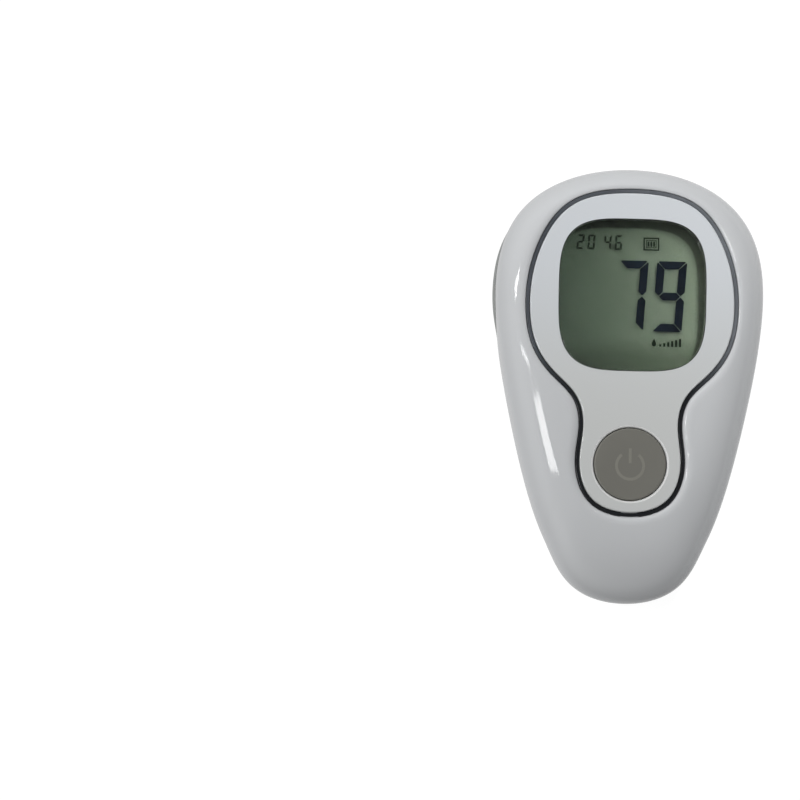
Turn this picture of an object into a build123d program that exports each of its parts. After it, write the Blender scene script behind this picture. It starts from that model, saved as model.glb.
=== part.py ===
"""Pocket blood glucose meter: an egg-shaped two-part case that lies on its back.

Frame: +Z up out of the display, +Y towards the wide end where test strips go in, +X to the
right of the reader. The origin is on the table, under the middle of the case. Millimetres.

A white front shell and a grey rear shell meet at a parting plane. A keyhole-shaped face plate
lies in the front shell, framed by a dark trim ring, and holds the display window and the one
button. Under it are the liquid crystal display, the circuit board, the coin cell with its
hinged door, and the strip connector behind its port at the wide end.
"""

import os
from math import cos, exp, pi, sin

from build123d import *

os.makedirs("parts", exist_ok=True)

# ---- case ------------------------------------------------------------------------------
case_width = 58.0
case_length = 94.0
# How full the egg is at mid length, how much it leans to the wide end, how blunt both ends are.
egg_fullness, egg_lean, egg_bluntness = 0.922, 0.308, 0.298
foot_height = 0.8
rear_depth = 8.2
front_depth = 11.3
front_wall = 1.9
rear_wall = 1.8
parting_inset = 0.35
tongue_height = 1.2
tongue_thickness = 0.9
tongue_clearance = 0.1
swell_from_top = 23.0
swell_spread = 11.5

# The flanks as (share of the depth, inset at the sides, at the wide end, at the narrow end).
front_flank = (
    (0.00, parting_inset, parting_inset, parting_inset),
    (0.18, 0.0, 0.0, 0.0),
    (0.45, 0.4, 0.45, 0.9),
    (0.67, 1.3, 1.3, 3.2),
    (0.84, 2.8, 2.6, 7.5),
    (0.95, 4.8, 4.2, 13.0),
    (1.00, 7.0, 6.2, 18.5),
)
# The rear flank adds how far the sides swell out beside the display.
rear_flank = (
    (0.00, 8.5, 8.0, 9.0, 0.0),
    (0.07, 5.6, 5.2, 6.0, 0.2),
    (0.27, 2.9, 2.6, 3.2, 1.2),
    (0.56, 1.5, 1.2, 1.6, 2.0),
    (0.80, 0.8, 0.6, 0.8, 1.2),
    (1.00, parting_inset, parting_inset, parting_inset, 0.0),
)

# ---- face plate, trim ring and window --------------------------------------------------
window_width = 31.5
window_height = 32.6
window_squareness = 3.6
window_from_top = 28.4
window_to_button = 36.3
rim_beside_window = 6.65
rim_above_window = 5.9
rim_round_button = 3.35
waist_pinch = 0.7
waist_above_button = 8.6
lobe_above_button = 0.5
plate_below_crown = 0.5
plate_thickness = 1.6
trim_width = 0.9
trim_height = 1.2
trim_clearance = 0.05
ledge_width = 1.45
ledge_thickness = 1.5
ledge_band = 3.0
adhesive_thickness = 0.15
adhesive_margin = 0.2
flare_width = 1.7
flare_rise = 0.2

# ---- button and its switch -------------------------------------------------------------
button_diameter = 15.9
button_clearance = 0.15
button_below_plate = 0.05
button_travel = 0.5
button_top_thickness = 1.1
button_flange = 0.7
button_flange_thickness = 0.78
button_seat_gap = 0.02
button_skirt = 1.3
button_rib = 1.0
button_edge_round = 0.35
button_hole_chamfer = 0.2
stem_diameter = 3.2
switch_side = 6.0
switch_height = 3.4
switch_frame_thickness = 0.2
plunger_diameter = 3.5
plunger_proud = 0.9
plunger_clearance = 0.05
plunger_sunk = 1.3
dome_thickness = 0.15
dome_diameter = 4.8
dome_gap = 0.05
frame_clearance = 0.15

# ---- display ---------------------------------------------------------------------------
lens_below_plate = 0.3
lens_clearance = 0.1
lens_flange = 0.9
lens_flange_thickness = 0.8
bezel_depth = 2.5
bezel_flange_thickness = 0.8
bezel_wall = 1.15
bezel_clearance = 0.15
glass_margin = 1.0
glass_thickness = 0.7
glass_contact_shelf = 2.8
film_thickness = 0.2
film_margin = 0.4
holder_wall = 1.3
holder_corner = 2.0
holder_shelf = 1.4
holder_clearance = 0.1
holder_standoff = 2.1
zebra_width = 2.0
zebra_inset = 1.8

# ---- circuit board ---------------------------------------------------------------------
board_thickness = 1.6
board_beyond_window = 2.05
board_end_from_top = 7.5
board_corner = 9.0
board_tail_half_width = 11.5
board_tail_tip_half_width = 6.0
board_shoulder_below_window = 10.4
board_tail_below_button = 13.8
board_tail_taper = 6.0
chip_side = 9.0
chip_height = 1.2
chip_legs_a_side = 8
chip_leg_pitch = 0.95
leg_reach, leg_width, leg_thickness = 0.5, 0.4, 0.25
memory_width, memory_length, memory_height = 4.0, 5.0, 1.4
memory_leg_pitch = 1.2
small_parts_inside_window = 5.25
small_parts_below = 6.0
crystal_width, crystal_length, crystal_height, crystal_corner = 3.2, 7.0, 1.4, 1.5
component_length, component_width, component_height = 1.6, 0.8, 0.6
row_count, row_inside_window, row_above = 6, 3.25, 8.4
column_aside, column_start, column_pitch = 8.6, 4.0, 3.0
pair_aside, pair_beyond_door = 11.5, 5.0
thermistor_aside = 2.5
buzzer_diameter = 11.0
buzzer_height = 4.4
buzzer_hole = 2.0
buzzer_below_button = 3.0

# ---- strip port ------------------------------------------------------------------------
strip_slot_width = 6.5
strip_slot_height = 1.1
port_height_above_table = 6.3
port_width = 12.0
port_height = 3.8
port_flange = 0.9
port_flange_thickness = 1.0
port_clearance = 0.1
port_corner = 1.6
port_depth = 6.0
port_proud = 0.15
funnel_depth = 1.4
funnel_flare_x, funnel_flare_z = 1.2, 0.8
connector_width = 13.0
connector_length = 11.5
connector_gap = 0.6
contact_count = 5
contact_pitch = 1.2
contact_width = 0.6
contact_thickness = 0.2
contact_tail = 0.6
finger_above_slot = 0.9
groove_clearance, groove_room, groove_end = 0.1, 0.3, 1.5
nose_from_mouth, nose_slope, nose_flat, nose_above_floor = 3.7, 1.1, 0.4, 0.6
connector_floor, connector_stop = 0.9, 2.0

# ---- coin cell, its well and its door --------------------------------------------------
cell_diameter = 20.0
cell_thickness = 3.2
cell_cap_diameter = 17.6
cell_cap_proud = 0.3
cell_can_wall = 0.6
cell_can_round, cell_cap_round = 0.4, 0.2
cell_rim_depth = 1.2
cell_below_window = 14.6
cell_clearance = 0.3
cell_above_door = 0.75
well_wall = 1.4
well_roof = 1.1
well_headroom = 0.6
deck_thickness = 1.05
door_width = 25.2
door_length = 29.0
door_thickness = 1.45
door_corner = 4.0
door_clearance = 0.25
door_frame_wall = 1.4
hook_width = 4.0
hook_spacing = 14.0
hook_reach = 1.2
hook_root = 2.0
hook_swing_room = 1.3
hook_pocket_room = 0.8
hook_thickness = 0.9
hook_clearance = 0.3
lip_thickness = 1.4
notch_radius = 5.0
notch_depth = 1.0
door_grip_count = 3
door_grip_margin, door_grip_pitch = 3.0, 1.6
door_grip_length, door_grip_width, door_grip_depth = 9.0, 0.7, 0.35
pad_diameter = 12.0
pad_thickness = 0.6
spring_strip = 0.25
positive_width = 5.0
negative_width = 4.0
negative_riser = 8.0
negative_pad, leaf_root, leaf_slope, leaf_tip = 2.0, 5.0, 5.0, 3.0
contact_slot_room = 0.25
positive_pad = 2.2
contact_gap = 0.02

# ---- fasteners, feet and label ---------------------------------------------------------
case_screw_diameter = 1.8
case_screw_length = 8.0
case_screw_head_diameter = 3.6
case_screw_head_height = 1.4
case_screw_seat_height = 3.2
case_screw_beside_window = 5.75
case_screw_above_window = 8.4
case_screw_from_tip = 13.0
case_screw_tip_half_spacing = 8.5
boss_wall_front = 1.5
board_screw_diameter = 1.4
board_screw_length = 4.2
board_screw_head_diameter = 3.2
board_screw_head_height = 1.0
board_screw_beside = 15.0
board_screw_below_window = 7.6
board_screw_below_button = 11.2
post_diameter = 4.0
boss_wall = 0.8
thread_clearance = 0.05
head_clearance = 0.2
cross_slot_width = 0.5
cross_slot_depth = 0.7
cross_slot_margin = 0.4
pilot_spare = 0.4
shank_clearance = 0.2
foot_diameter = 7.0
foot_recess = 0.6
foot_clearance = 0.1
foot_round = 0.3
wide_foot_aside, wide_foot_from_top = 13.5, 17.5
narrow_foot_aside, narrow_foot_from_tip = 8.0, 21.0
label_width = 17.0
label_length = 9.0
label_thickness = 0.12
label_clearance = 0.2
label_beyond_notch = 1.5
sound_hole_diameter = 1.0
sound_hole_ring = 2.4
sound_hole_count = 6

# ---- places worked out from the sizes above --------------------------------------------
half_width = case_width / 2
top_y = case_length / 2
tip_y = -case_length / 2
window_y = top_y - window_from_top
button_y = window_y - window_to_button
lobe_y = button_y + lobe_above_button
waist_y = button_y + waist_above_button
cell_y = window_y - cell_below_window

floor_z = foot_height
parting_z = floor_z + rear_depth
crown_z = parting_z + front_depth
plate_top_z = crown_z - plate_below_crown
plate_z = plate_top_z - plate_thickness
ledge_top_z = plate_z - adhesive_thickness
ledge_bottom_z = ledge_top_z - ledge_thickness
lens_flange_z = plate_z - lens_flange_thickness
display_top_z = lens_flange_z - bezel_depth
front_glass_z = display_top_z - film_thickness - glass_thickness
rear_glass_z = front_glass_z - glass_thickness
reflector_z = rear_glass_z - film_thickness
board_top_z = reflector_z - holder_standoff
board_z = board_top_z - board_thickness
door_top_z = floor_z + door_thickness
deck_z = door_top_z + tongue_clearance
cell_z = door_top_z + cell_above_door
cell_top_z = cell_z + cell_thickness
cell_rim_z = cell_top_z - cell_cap_proud
well_ceiling_z = cell_top_z + well_headroom
well_top_z = well_ceiling_z + well_roof
door_low_y = cell_y - door_length / 2
door_high_y = cell_y + door_length / 2
switch_top_z = board_top_z + switch_height
plunger_top_z = switch_top_z + switch_frame_thickness + plunger_proud
plunger_low_z = switch_top_z - plunger_sunk
dome_top_z = plunger_low_z - button_travel - dome_gap
well_radius = cell_diameter / 2 + cell_clearance
label_y = door_high_y + notch_radius + label_beyond_notch + label_length / 2
buzzer_y = button_y - buzzer_below_button
board_half_width = window_width / 2 + board_beyond_window
small_parts_aside = window_width / 2 - small_parts_inside_window
row_pitch = (window_width - 2 * row_inside_window) / (row_count - 1)
port_z = port_height_above_table
port_inner_y = top_y - port_depth
slot_low_z = port_z - strip_slot_height / 2
slot_high_z = port_z + strip_slot_height / 2
finger_z = slot_high_z + finger_above_slot

egg_samples = 16
outline_samples = 32
overcut = 0.5


# ---- shapes that several pieces share --------------------------------------------------
def closed_spline(points):
    """A smooth closed outline at z 0 through the points, which run anticlockwise."""
    return Edge.make_spline([Vector(x, y, 0) for x, y in points], periodic=True)


def grown(outline, distance):
    """The outline moved outwards by the distance, along its own normals."""
    points = []
    for i in range(outline_samples):
        at = i / outline_samples
        here, along = outline @ at, outline % at
        points.append((here.X + along.Y * distance, here.Y - along.X * distance))
    return closed_spline(points)


def slab(outline, low_z, high_z):
    """The flat region inside a closed outline, made solid between two heights."""
    face = Face(Wire([outline])).moved(Location((0, 0, low_z)))
    return Solid.extrude(face, Vector(0, 0, high_z - low_z))


def ring_slab(outer, inner, low_z, high_z):
    """What lies between two nested outlines, made solid between two heights."""
    return slab(outer, low_z, high_z) - slab(inner, low_z - overcut, high_z + overcut)


def disc(x, y, radius, low_z, high_z):
    """An upright cylinder between two heights."""
    return Pos(x, y, (low_z + high_z) / 2) * Cylinder(radius, high_z - low_z)


def block(low, high):
    """A box from its lowest corner to its highest."""
    size = [b - a for a, b in zip(low, high)]
    middle = [(a + b) / 2 for a, b in zip(low, high)]
    return Pos(*middle) * Box(*size)


def rounded_block(x, y, width, length, corner, low_z, high_z):
    """An upright slab with rounded corners, centred on x and y."""
    face = Pos(x, y, low_z) * RectangleRounded(width, length, corner)
    return extrude(face, high_z - low_z)


def strip(points, y, width, thickness):
    """A bent metal strip: its line in the XZ plane, given a thickness and a width along Y."""
    lines = []
    for (x0, z0), (x1, z1) in zip(points, points[1:]):
        centre = ((x0 + x1) / 2, y, (z0 + z1) / 2)
        run = Vector(x1 - x0, 0, z1 - z0)
        plane = Plane(origin=centre, x_dir=run, z_dir=Vector(0, 1, 0))
        flat = plane * Rectangle(run.length + thickness, thickness)
        lines.append(extrude(flat, width / 2, both=True))
    whole = lines[0]
    for piece in lines[1:]:
        whole = whole + piece
    return whole


def egg(side_inset, top_inset, tip_inset, z, swell=0.0):
    """One level of the case: an egg whose sides and ends stand in from the widest outline."""
    half = half_width - side_inset
    high, low = top_y - top_inset, tip_y + tip_inset
    points = []
    for i in range(egg_samples):
        angle = pi / 2 + 2 * pi * i / egg_samples
        along, across = sin(angle), cos(angle)
        y = (high + low) / 2 + (high - low) / 2 * along
        bulge = swell * exp(-(((y - top_y + swell_from_top) / swell_spread) ** 2))
        fullness = egg_fullness + egg_lean * along + egg_bluntness * along**2
        points.append(((half + bulge) * across * fullness, y))
    return Face(Wire([closed_spline(points)])).moved(Location((0, 0, z)))


def front_body(inset, crown):
    """The dome of the front, as large as the case less an inset, up to a crown height."""
    levels = []
    for share, side, wide_end, narrow_end in front_flank:
        height = parting_z + (crown - parting_z) * share
        levels.append(egg(inset + side, inset + wide_end, inset + narrow_end, height))
    return loft(levels)


def rear_body(inset, floor):
    """The tray of the rear, as large as the case less an inset, down to a floor height."""
    levels = []
    for share, side, wide_end, narrow_end, swell in rear_flank:
        height = floor + (parting_z - floor) * share
        levels.append(
            egg(inset + side, inset + wide_end, inset + narrow_end, height, swell)
        )
    return loft(levels)


def egg_slab(inset, low_z, high_z):
    """The case outline at the parting plane, less an inset, made solid between two heights."""
    return Solid.extrude(egg(inset, inset, inset, low_z), Vector(0, 0, high_z - low_z))


def screw(x, y, seat_z, length, diameter, head_diameter, head_height):
    """A pan-head screw that points up, with its head under the seat and a cross in the head."""
    body = disc(x, y, diameter / 2, seat_z - overcut, seat_z + length)
    head = disc(x, y, head_diameter / 2, seat_z - head_height, seat_z)
    low_z, high_z = seat_z - head_height - overcut, seat_z - head_height + cross_slot_depth
    reach, slot = head_diameter / 2 - cross_slot_margin, cross_slot_width / 2
    cross = block((x - reach, y - slot, low_z), (x + reach, y + slot, high_z))
    cross = cross + block((x - slot, y - reach, low_z), (x + slot, y + reach, high_z))
    return body + head - cross


def window_outline():
    """The display window: a square with bulging sides and wide round corners."""
    points = []
    for i in range(outline_samples):
        angle = 2 * pi * (i + 0.5) / outline_samples
        across, along = cos(angle), sin(angle)
        reach = (abs(across) ** window_squareness + abs(along) ** window_squareness) ** (
            -1 / window_squareness
        )
        x = window_width / 2 * across * reach
        points.append((x, window_y + window_height / 2 * along * reach))
    return closed_spline(points)


def keyhole_outline():
    """The middle of the trim ring: a wide lobe round the window, a waist, a lobe round the button."""
    wide = window_width / 2 + rim_beside_window
    tall = window_height / 2 + rim_above_window
    lobe = button_diameter / 2 + rim_round_button
    waist = lobe - waist_pinch
    right = [
        (0.64 * wide, window_y + 0.85 * tall),
        (0.89 * wide, window_y + 0.50 * tall),
        (wide, window_y - 0.085 * tall),
        (0.91 * wide, window_y - 0.55 * tall),
        (0.74 * wide, window_y - 0.78 * tall),
        (waist + 1.25, waist_y + 5.2),
        (waist, waist_y),
        (lobe, lobe_y),
        (0.74 * lobe, lobe_y - 0.74 * lobe),
    ]
    left = [(-x, y) for x, y in right]
    crown, bottom = (0, window_y + tall), (0, lobe_y - lobe)
    return closed_spline([crown, *left, bottom, *reversed(right)])


window = window_outline()
keyhole = keyhole_outline()
case_screw_sites = [
    (side * x, y)
    for side in (-1, 1)
    for x, y in (
        (window_width / 2 + case_screw_beside_window, window_y + case_screw_above_window),
        (case_screw_tip_half_spacing, tip_y + case_screw_from_tip),
    )
]
board_screw_sites = [
    (-board_screw_beside, window_y - window_height / 2 - board_screw_below_window),
    (board_screw_beside, window_y - window_height / 2 - board_screw_below_window),
    (0, button_y - board_screw_below_button),
]
glass_half_width = window_width / 2 + glass_margin
glass_high_y = window_y + window_height / 2 + glass_margin
glass_low_y = window_y - window_height / 2 - glass_margin
shelf_low_y = glass_low_y - glass_contact_shelf


# ---- case ------------------------------------------------------------------------------
def front_shell():
    outer = front_body(0, crown_z)
    # The band round the keyhole carries the ledge that the face plate is glued to.
    band = slab(grown(keyhole, ledge_band), ledge_bottom_z, crown_z)
    bosses = [
        disc(x, y, case_screw_diameter / 2 + boss_wall_front, parting_z, crown_z)
        for x, y in case_screw_sites
    ]
    posts = [disc(x, y, post_diameter / 2, board_top_z, crown_z) for x, y in board_screw_sites]
    hollow = front_body(front_wall, crown_z - front_wall) - [band, *bosses, *posts]
    recess = grown(keyhole, trim_width / 2 + trim_clearance)
    opening = grown(keyhole, -trim_width / 2 - ledge_width)
    shell = outer - [
        hollow,
        slab(recess, ledge_top_z, crown_z + overcut),
        slab(opening, ledge_bottom_z - overcut, crown_z),
        recess_flare(recess),
    ]
    tongue_side = parting_inset + front_wall
    tongue = egg_slab(
        tongue_side - tongue_thickness, parting_z - tongue_height, parting_z + overcut
    ) - egg_slab(tongue_side, parting_z - tongue_height - overcut, parting_z + 2 * overcut)
    shell = shell + (tongue - port_gap_in_tongue())
    case_pilot = case_screw_diameter / 2 + thread_clearance
    case_tip_z = floor_z + case_screw_seat_height + case_screw_length + pilot_spare
    board_pilot = board_screw_diameter / 2 + thread_clearance
    board_tip_z = board_z + board_screw_length + pilot_spare
    return shell - [
        *[disc(x, y, case_pilot, parting_z - overcut, case_tip_z) for x, y in case_screw_sites],
        *[disc(x, y, board_pilot, board_top_z - overcut, board_tip_z) for x, y in board_screw_sites],
    ]


def recess_flare(recess):
    """The slope by which the crown rolls down to the trim ring."""
    low = Wire([recess]).moved(Location((0, 0, plate_top_z - trim_width / 2)))
    wide = grown(keyhole, trim_width / 2 + flare_width)
    return Solid.make_loft([low, Wire([wide]).moved(Location((0, 0, crown_z + flare_rise)))], True)


def port_gap_in_tongue():
    half = port_width / 2 + port_flange + tongue_clearance
    low_y = port_inner_y - port_clearance
    return block((-half, low_y, parting_z - tongue_height - overcut), (half, top_y, parting_z))


def rear_shell():
    inner_floor_z = floor_z + rear_wall
    bosses = [
        disc(x, y, case_screw_head_diameter / 2 + head_clearance + boss_wall, floor_z, parting_z)
        for x, y in case_screw_sites
    ]
    frame = rounded_block(
        0, cell_y, door_width + 2 * (door_clearance + door_frame_wall),
        door_length + 2 * (door_clearance + door_frame_wall),
        door_corner + door_frame_wall, floor_z, deck_z + deck_thickness,
    )
    well = disc(0, cell_y, well_radius + well_wall, deck_z, well_top_z)
    hollow = rear_body(rear_wall, inner_floor_z) - [*bosses, frame, well]
    shell = rear_body(0, floor_z) - [hollow, tongue_rebate()]
    shell = shell - [disc(0, cell_y, well_radius, floor_z - overcut, well_ceiling_z), *door_pocket()]
    shell = shell - [*contact_slots(), *case_screw_holes(), *sound_holes()]
    foot_hole = foot_diameter / 2 + foot_clearance
    label = rating_label_block(label_clearance, floor_z - overcut)
    return shell - [
        *[disc(x, y, foot_hole, floor_z - overcut, floor_z + foot_recess) for x, y in foot_places()],
        label,
        port_block(port_clearance),
    ]


def tongue_rebate():
    """The step inside the rim that the front shell's tongue drops into."""
    wall_side = parting_inset + front_wall - tongue_thickness - tongue_clearance
    open_side = parting_inset + front_wall + tongue_clearance
    low_z = parting_z - tongue_height - tongue_clearance
    return egg_slab(wall_side, low_z, parting_z + overcut) - egg_slab(
        open_side, low_z - overcut, parting_z + 2 * overcut
    )


def door_pocket():
    """The recess for the door, the ways through for its hooks, and the thumb notch."""
    cuts = [
        rounded_block(
            0, cell_y, door_width + 2 * door_clearance, door_length + 2 * door_clearance,
            door_corner + door_clearance, floor_z - overcut, deck_z,
        )
    ]
    half = hook_width / 2 + hook_clearance
    for side in (-1, 1):
        x = side * hook_spacing / 2
        low_y = door_low_y - hook_reach - hook_pocket_room
        high_y = door_low_y + hook_root + hook_swing_room
        high_z = deck_z + deck_thickness + overcut
        cuts.append(block((x - half, low_y, floor_z + lip_thickness), (x + half, high_y, high_z)))
    notch = Pos(0, door_high_y + door_clearance, floor_z - notch_radius + notch_depth)
    return [*cuts, notch * Sphere(notch_radius)]


def contact_slots():
    """The two slots that let the cell's contacts up to the board."""
    half = positive_width / 2 + contact_slot_room
    side_slot = block(
        (cell_diameter / 2 - contact_slot_room, cell_y - half, cell_z),
        (well_radius + contact_slot_room, cell_y + half, well_top_z + overcut),
    )
    half = negative_width / 2 + contact_slot_room
    roof_slot = block(
        (-negative_riser - spring_strip / 2 - contact_slot_room, cell_y - half,
         well_ceiling_z - overcut),
        (-negative_riser + spring_strip / 2 + contact_slot_room, cell_y + half,
         well_top_z + overcut),
    )
    return [side_slot, roof_slot]


def case_screw_holes():
    seat_z = floor_z + case_screw_seat_height
    head = case_screw_head_diameter / 2 + head_clearance
    shank = case_screw_diameter / 2 + shank_clearance
    holes = []
    for x, y in case_screw_sites:
        holes.append(disc(x, y, head, floor_z - overcut, seat_z))
        holes.append(disc(x, y, shank, seat_z - overcut, parting_z + overcut))
    return holes


def sound_holes():
    holes = []
    for i in range(sound_hole_count):
        angle = 2 * pi * i / sound_hole_count
        x, y = sound_hole_ring * cos(angle), buzzer_y + sound_hole_ring * sin(angle)
        high_z = floor_z + rear_wall + overcut
        holes.append(disc(x, y, sound_hole_diameter / 2, floor_z - overcut, high_z))
    return holes


def foot_places():
    wide_end = (wide_foot_aside, top_y - wide_foot_from_top)
    narrow_end = (narrow_foot_aside, tip_y + narrow_foot_from_tip)
    return [(side * x, y) for side in (-1, 1) for x, y in (wide_end, narrow_end)]


def rubber_feet():
    feet = []
    for x, y in foot_places():
        foot = disc(x, y, foot_diameter / 2, 0, floor_z + foot_recess)
        feet.append(fillet(foot.edges().sort_by(Axis.Z)[0], foot_round))
    return feet


def rating_label_block(extra, low_z):
    """The label's outline grown on all sides, from a height up to the recess's roof."""
    half_x, half_y = label_width / 2 + extra, label_length / 2 + extra
    return block((-half_x, label_y - half_y, low_z),
                 (half_x, label_y + half_y, floor_z + label_thickness))


def rating_label():
    return rating_label_block(0, floor_z)


def case_screws():
    seat_z = floor_z + case_screw_seat_height
    return [
        screw(x, y, seat_z, case_screw_length, case_screw_diameter,
              case_screw_head_diameter, case_screw_head_height)
        for x, y in case_screw_sites
    ]


# ---- face ------------------------------------------------------------------------------
def face_plate():
    plate = slab(grown(keyhole, -trim_width / 2 - trim_clearance), plate_z, plate_top_z)
    plate = plate - slab(window, plate_z - overcut, plate_top_z + overcut)
    hole_radius = button_diameter / 2 + button_clearance
    plate = plate - disc(0, button_y, hole_radius, plate_z - overcut, plate_top_z + overcut)
    rim = plate.edges().filter_by(GeomType.CIRCLE).sort_by(Axis.Z)[-1]
    return chamfer(rim, button_hole_chamfer)


def plate_adhesive():
    outer = grown(keyhole, -trim_width / 2 - adhesive_margin)
    inner = grown(keyhole, -trim_width / 2 - ledge_width + adhesive_margin)
    return ring_slab(outer, inner, ledge_top_z, plate_z)


def trim_ring():
    outer, inner = grown(keyhole, trim_width / 2), grown(keyhole, -trim_width / 2)
    return ring_slab(outer, inner, ledge_top_z, ledge_top_z + trim_height)


def display_lens():
    boss = slab(grown(window, -lens_clearance), lens_flange_z, plate_top_z - lens_below_plate)
    return boss + slab(grown(window, lens_flange), lens_flange_z, plate_z)


def display_bezel():
    opening = grown(window, bezel_clearance)
    flange = rounded_block(
        0, (glass_high_y + shelf_low_y) / 2,
        2 * (glass_half_width + holder_wall), glass_high_y - shelf_low_y + 2 * holder_wall,
        holder_corner, display_top_z, display_top_z + bezel_flange_thickness,
    )
    chimney = slab(grown(window, bezel_clearance + bezel_wall), display_top_z, lens_flange_z)
    return flange + chimney - slab(opening, display_top_z - overcut, lens_flange_z + overcut)


# ---- button ----------------------------------------------------------------------------
def button_cap():
    radius = button_diameter / 2
    flange_top_z = plate_z - button_seat_gap
    flange_z = flange_top_z - button_flange_thickness
    top_z = plate_top_z - button_below_plate
    cap = disc(0, button_y, radius, flange_z, top_z)
    cap = cap + disc(0, button_y, radius + button_flange, flange_z, flange_top_z)
    cap = fillet(cap.edges().sort_by(Axis.Z)[-1], button_edge_round)
    inner = radius - button_skirt
    cap = cap - disc(0, button_y, inner, flange_z - overcut, top_z - button_top_thickness)
    rib_z = top_z - button_top_thickness
    half = button_rib / 2
    cap = cap + block((-inner, button_y - half, flange_z), (inner, button_y + half, rib_z))
    cap = cap + block((-half, button_y - inner, flange_z), (half, button_y + inner, rib_z))
    return cap + disc(0, button_y, stem_diameter / 2, plunger_top_z, rib_z)


def switch_plunger():
    return disc(0, button_y, plunger_diameter / 2, plunger_low_z, plunger_top_z)


def switch_body():
    """The switch's base: a bore for the plunger over a wider pocket for the snap dome."""
    body = switch_block(board_top_z, switch_top_z)
    bore = plunger_diameter / 2 + plunger_clearance
    pocket = dome_diameter / 2 + plunger_clearance
    return body - [
        disc(0, button_y, bore, dome_top_z, switch_top_z + overcut),
        disc(0, button_y, pocket, dome_top_z - dome_thickness, dome_top_z),
    ]


def switch_dome():
    return disc(0, button_y, dome_diameter / 2, dome_top_z - dome_thickness, dome_top_z)


def switch_frame():
    high_z = switch_top_z + switch_frame_thickness
    hole = plunger_diameter / 2 + frame_clearance
    frame = switch_block(switch_top_z, high_z)
    return frame - disc(0, button_y, hole, switch_top_z - overcut, high_z + overcut)


def switch_block(low_z, high_z):
    half = switch_side / 2
    return block((-half, button_y - half, low_z), (half, button_y + half, high_z))


# ---- display ---------------------------------------------------------------------------
def lcd_layer(low_y, low_z, thickness, margin=0.0):
    low = (-glass_half_width + margin, low_y + margin, low_z)
    high = (glass_half_width - margin, glass_high_y - margin, low_z + thickness)
    return block(low, high)


def lcd_holder():
    """The frame that stands on the board: a shelf for the glass and a way down for the strip."""
    width = 2 * (glass_half_width + holder_wall)
    length = glass_high_y - shelf_low_y + 2 * holder_wall
    middle_y = (glass_high_y + shelf_low_y) / 2
    frame = rounded_block(0, middle_y, width, length, holder_corner, board_top_z, display_top_z)
    gap, shelf = holder_clearance, holder_shelf
    high_z = display_top_z + overcut
    return frame - [
        block((-glass_half_width - gap, shelf_low_y - gap, reflector_z),
              (glass_half_width + gap, glass_high_y + gap, high_z)),
        block((-glass_half_width + shelf, shelf_low_y + gap, board_top_z - overcut),
              (glass_half_width - shelf, glass_high_y - shelf, high_z)),
    ]


def zebra_connector():
    half = glass_half_width - zebra_inset
    middle_y = shelf_low_y + glass_contact_shelf / 2
    low = (-half, middle_y - zebra_width / 2, board_top_z)
    return block(low, (half, middle_y + zebra_width / 2, front_glass_z))


# ---- circuit board ---------------------------------------------------------------------
def main_board():
    end_y = top_y - board_end_from_top
    shoulder_y = window_y - window_height / 2 - board_shoulder_below_window
    tail_y = button_y - board_tail_below_button
    wide, tail, tip = board_half_width, board_tail_half_width, board_tail_tip_half_width
    upper = Pos(0, (end_y + shoulder_y) / 2, board_z) * Rectangle(2 * wide, end_y - shoulder_y)
    upper = fillet(upper.vertices().group_by(Axis.Y)[-1], board_corner)
    taper_y = tail_y + board_tail_taper
    corners = [(-tail, shoulder_y + 1), (-tail, taper_y), (-tip, tail_y), (tip, tail_y),
               (tail, taper_y), (tail, shoulder_y + 1)]
    lower = Pos(0, 0, board_z) * make_face(Polyline(*corners, close=True))
    board = extrude(upper + lower, board_thickness)
    for x, y in board_screw_sites:
        hole = board_screw_diameter / 2 + shank_clearance
        board = board - disc(x, y, hole, board_z - 1, board_top_z + 1)
    return board


def chip_with_legs(x, y, width, length, height, leg_sites):
    """A moulded chip on top of the board, with a flat leg at each site, given from its middle."""
    half = leg_width / 2
    chip = block((x - width / 2, y - length / 2, board_top_z),
                 (x + width / 2, y + length / 2, board_top_z + height))
    for leg_x, leg_y, along_x in leg_sites:
        reach_x, reach_y = (leg_reach, half) if along_x else (half, leg_reach)
        chip = chip + block(
            (x + leg_x - reach_x, y + leg_y - reach_y, board_top_z),
            (x + leg_x + reach_x, y + leg_y + reach_y, board_top_z + leg_thickness),
        )
    return chip


def controller_chip():
    side = chip_side / 2 + leg_reach / 2
    sites = []
    for i in range(chip_legs_a_side):
        at = (i - (chip_legs_a_side - 1) / 2) * chip_leg_pitch
        for edge in (-side, side):
            sites += [(edge, at, True), (at, edge, False)]
    return chip_with_legs(0, window_y, chip_side, chip_side, chip_height, sites)


def memory_chip():
    side = memory_width / 2 + leg_reach / 2
    rows = [(i - 1.5) * memory_leg_pitch for i in range(4)]
    sites = [(edge, at, True) for edge in (-side, side) for at in rows]
    y = window_y - small_parts_below
    return chip_with_legs(small_parts_aside, y, memory_width, memory_length, memory_height, sites)


def quartz_crystal():
    x, y = -small_parts_aside, window_y - small_parts_below
    top_z = board_top_z + crystal_height
    return rounded_block(x, y, crystal_width, crystal_length, crystal_corner, board_top_z, top_z)


def chip_component(x, y, turned, low_z):
    """One small resistor or capacitor, lying along X, or along Y when it is turned."""
    half_x, half_y = component_length / 2, component_width / 2
    if turned:
        half_x, half_y = half_y, half_x
    return block((x - half_x, y - half_y, low_z), (x + half_x, y + half_y, low_z + component_height))


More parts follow.
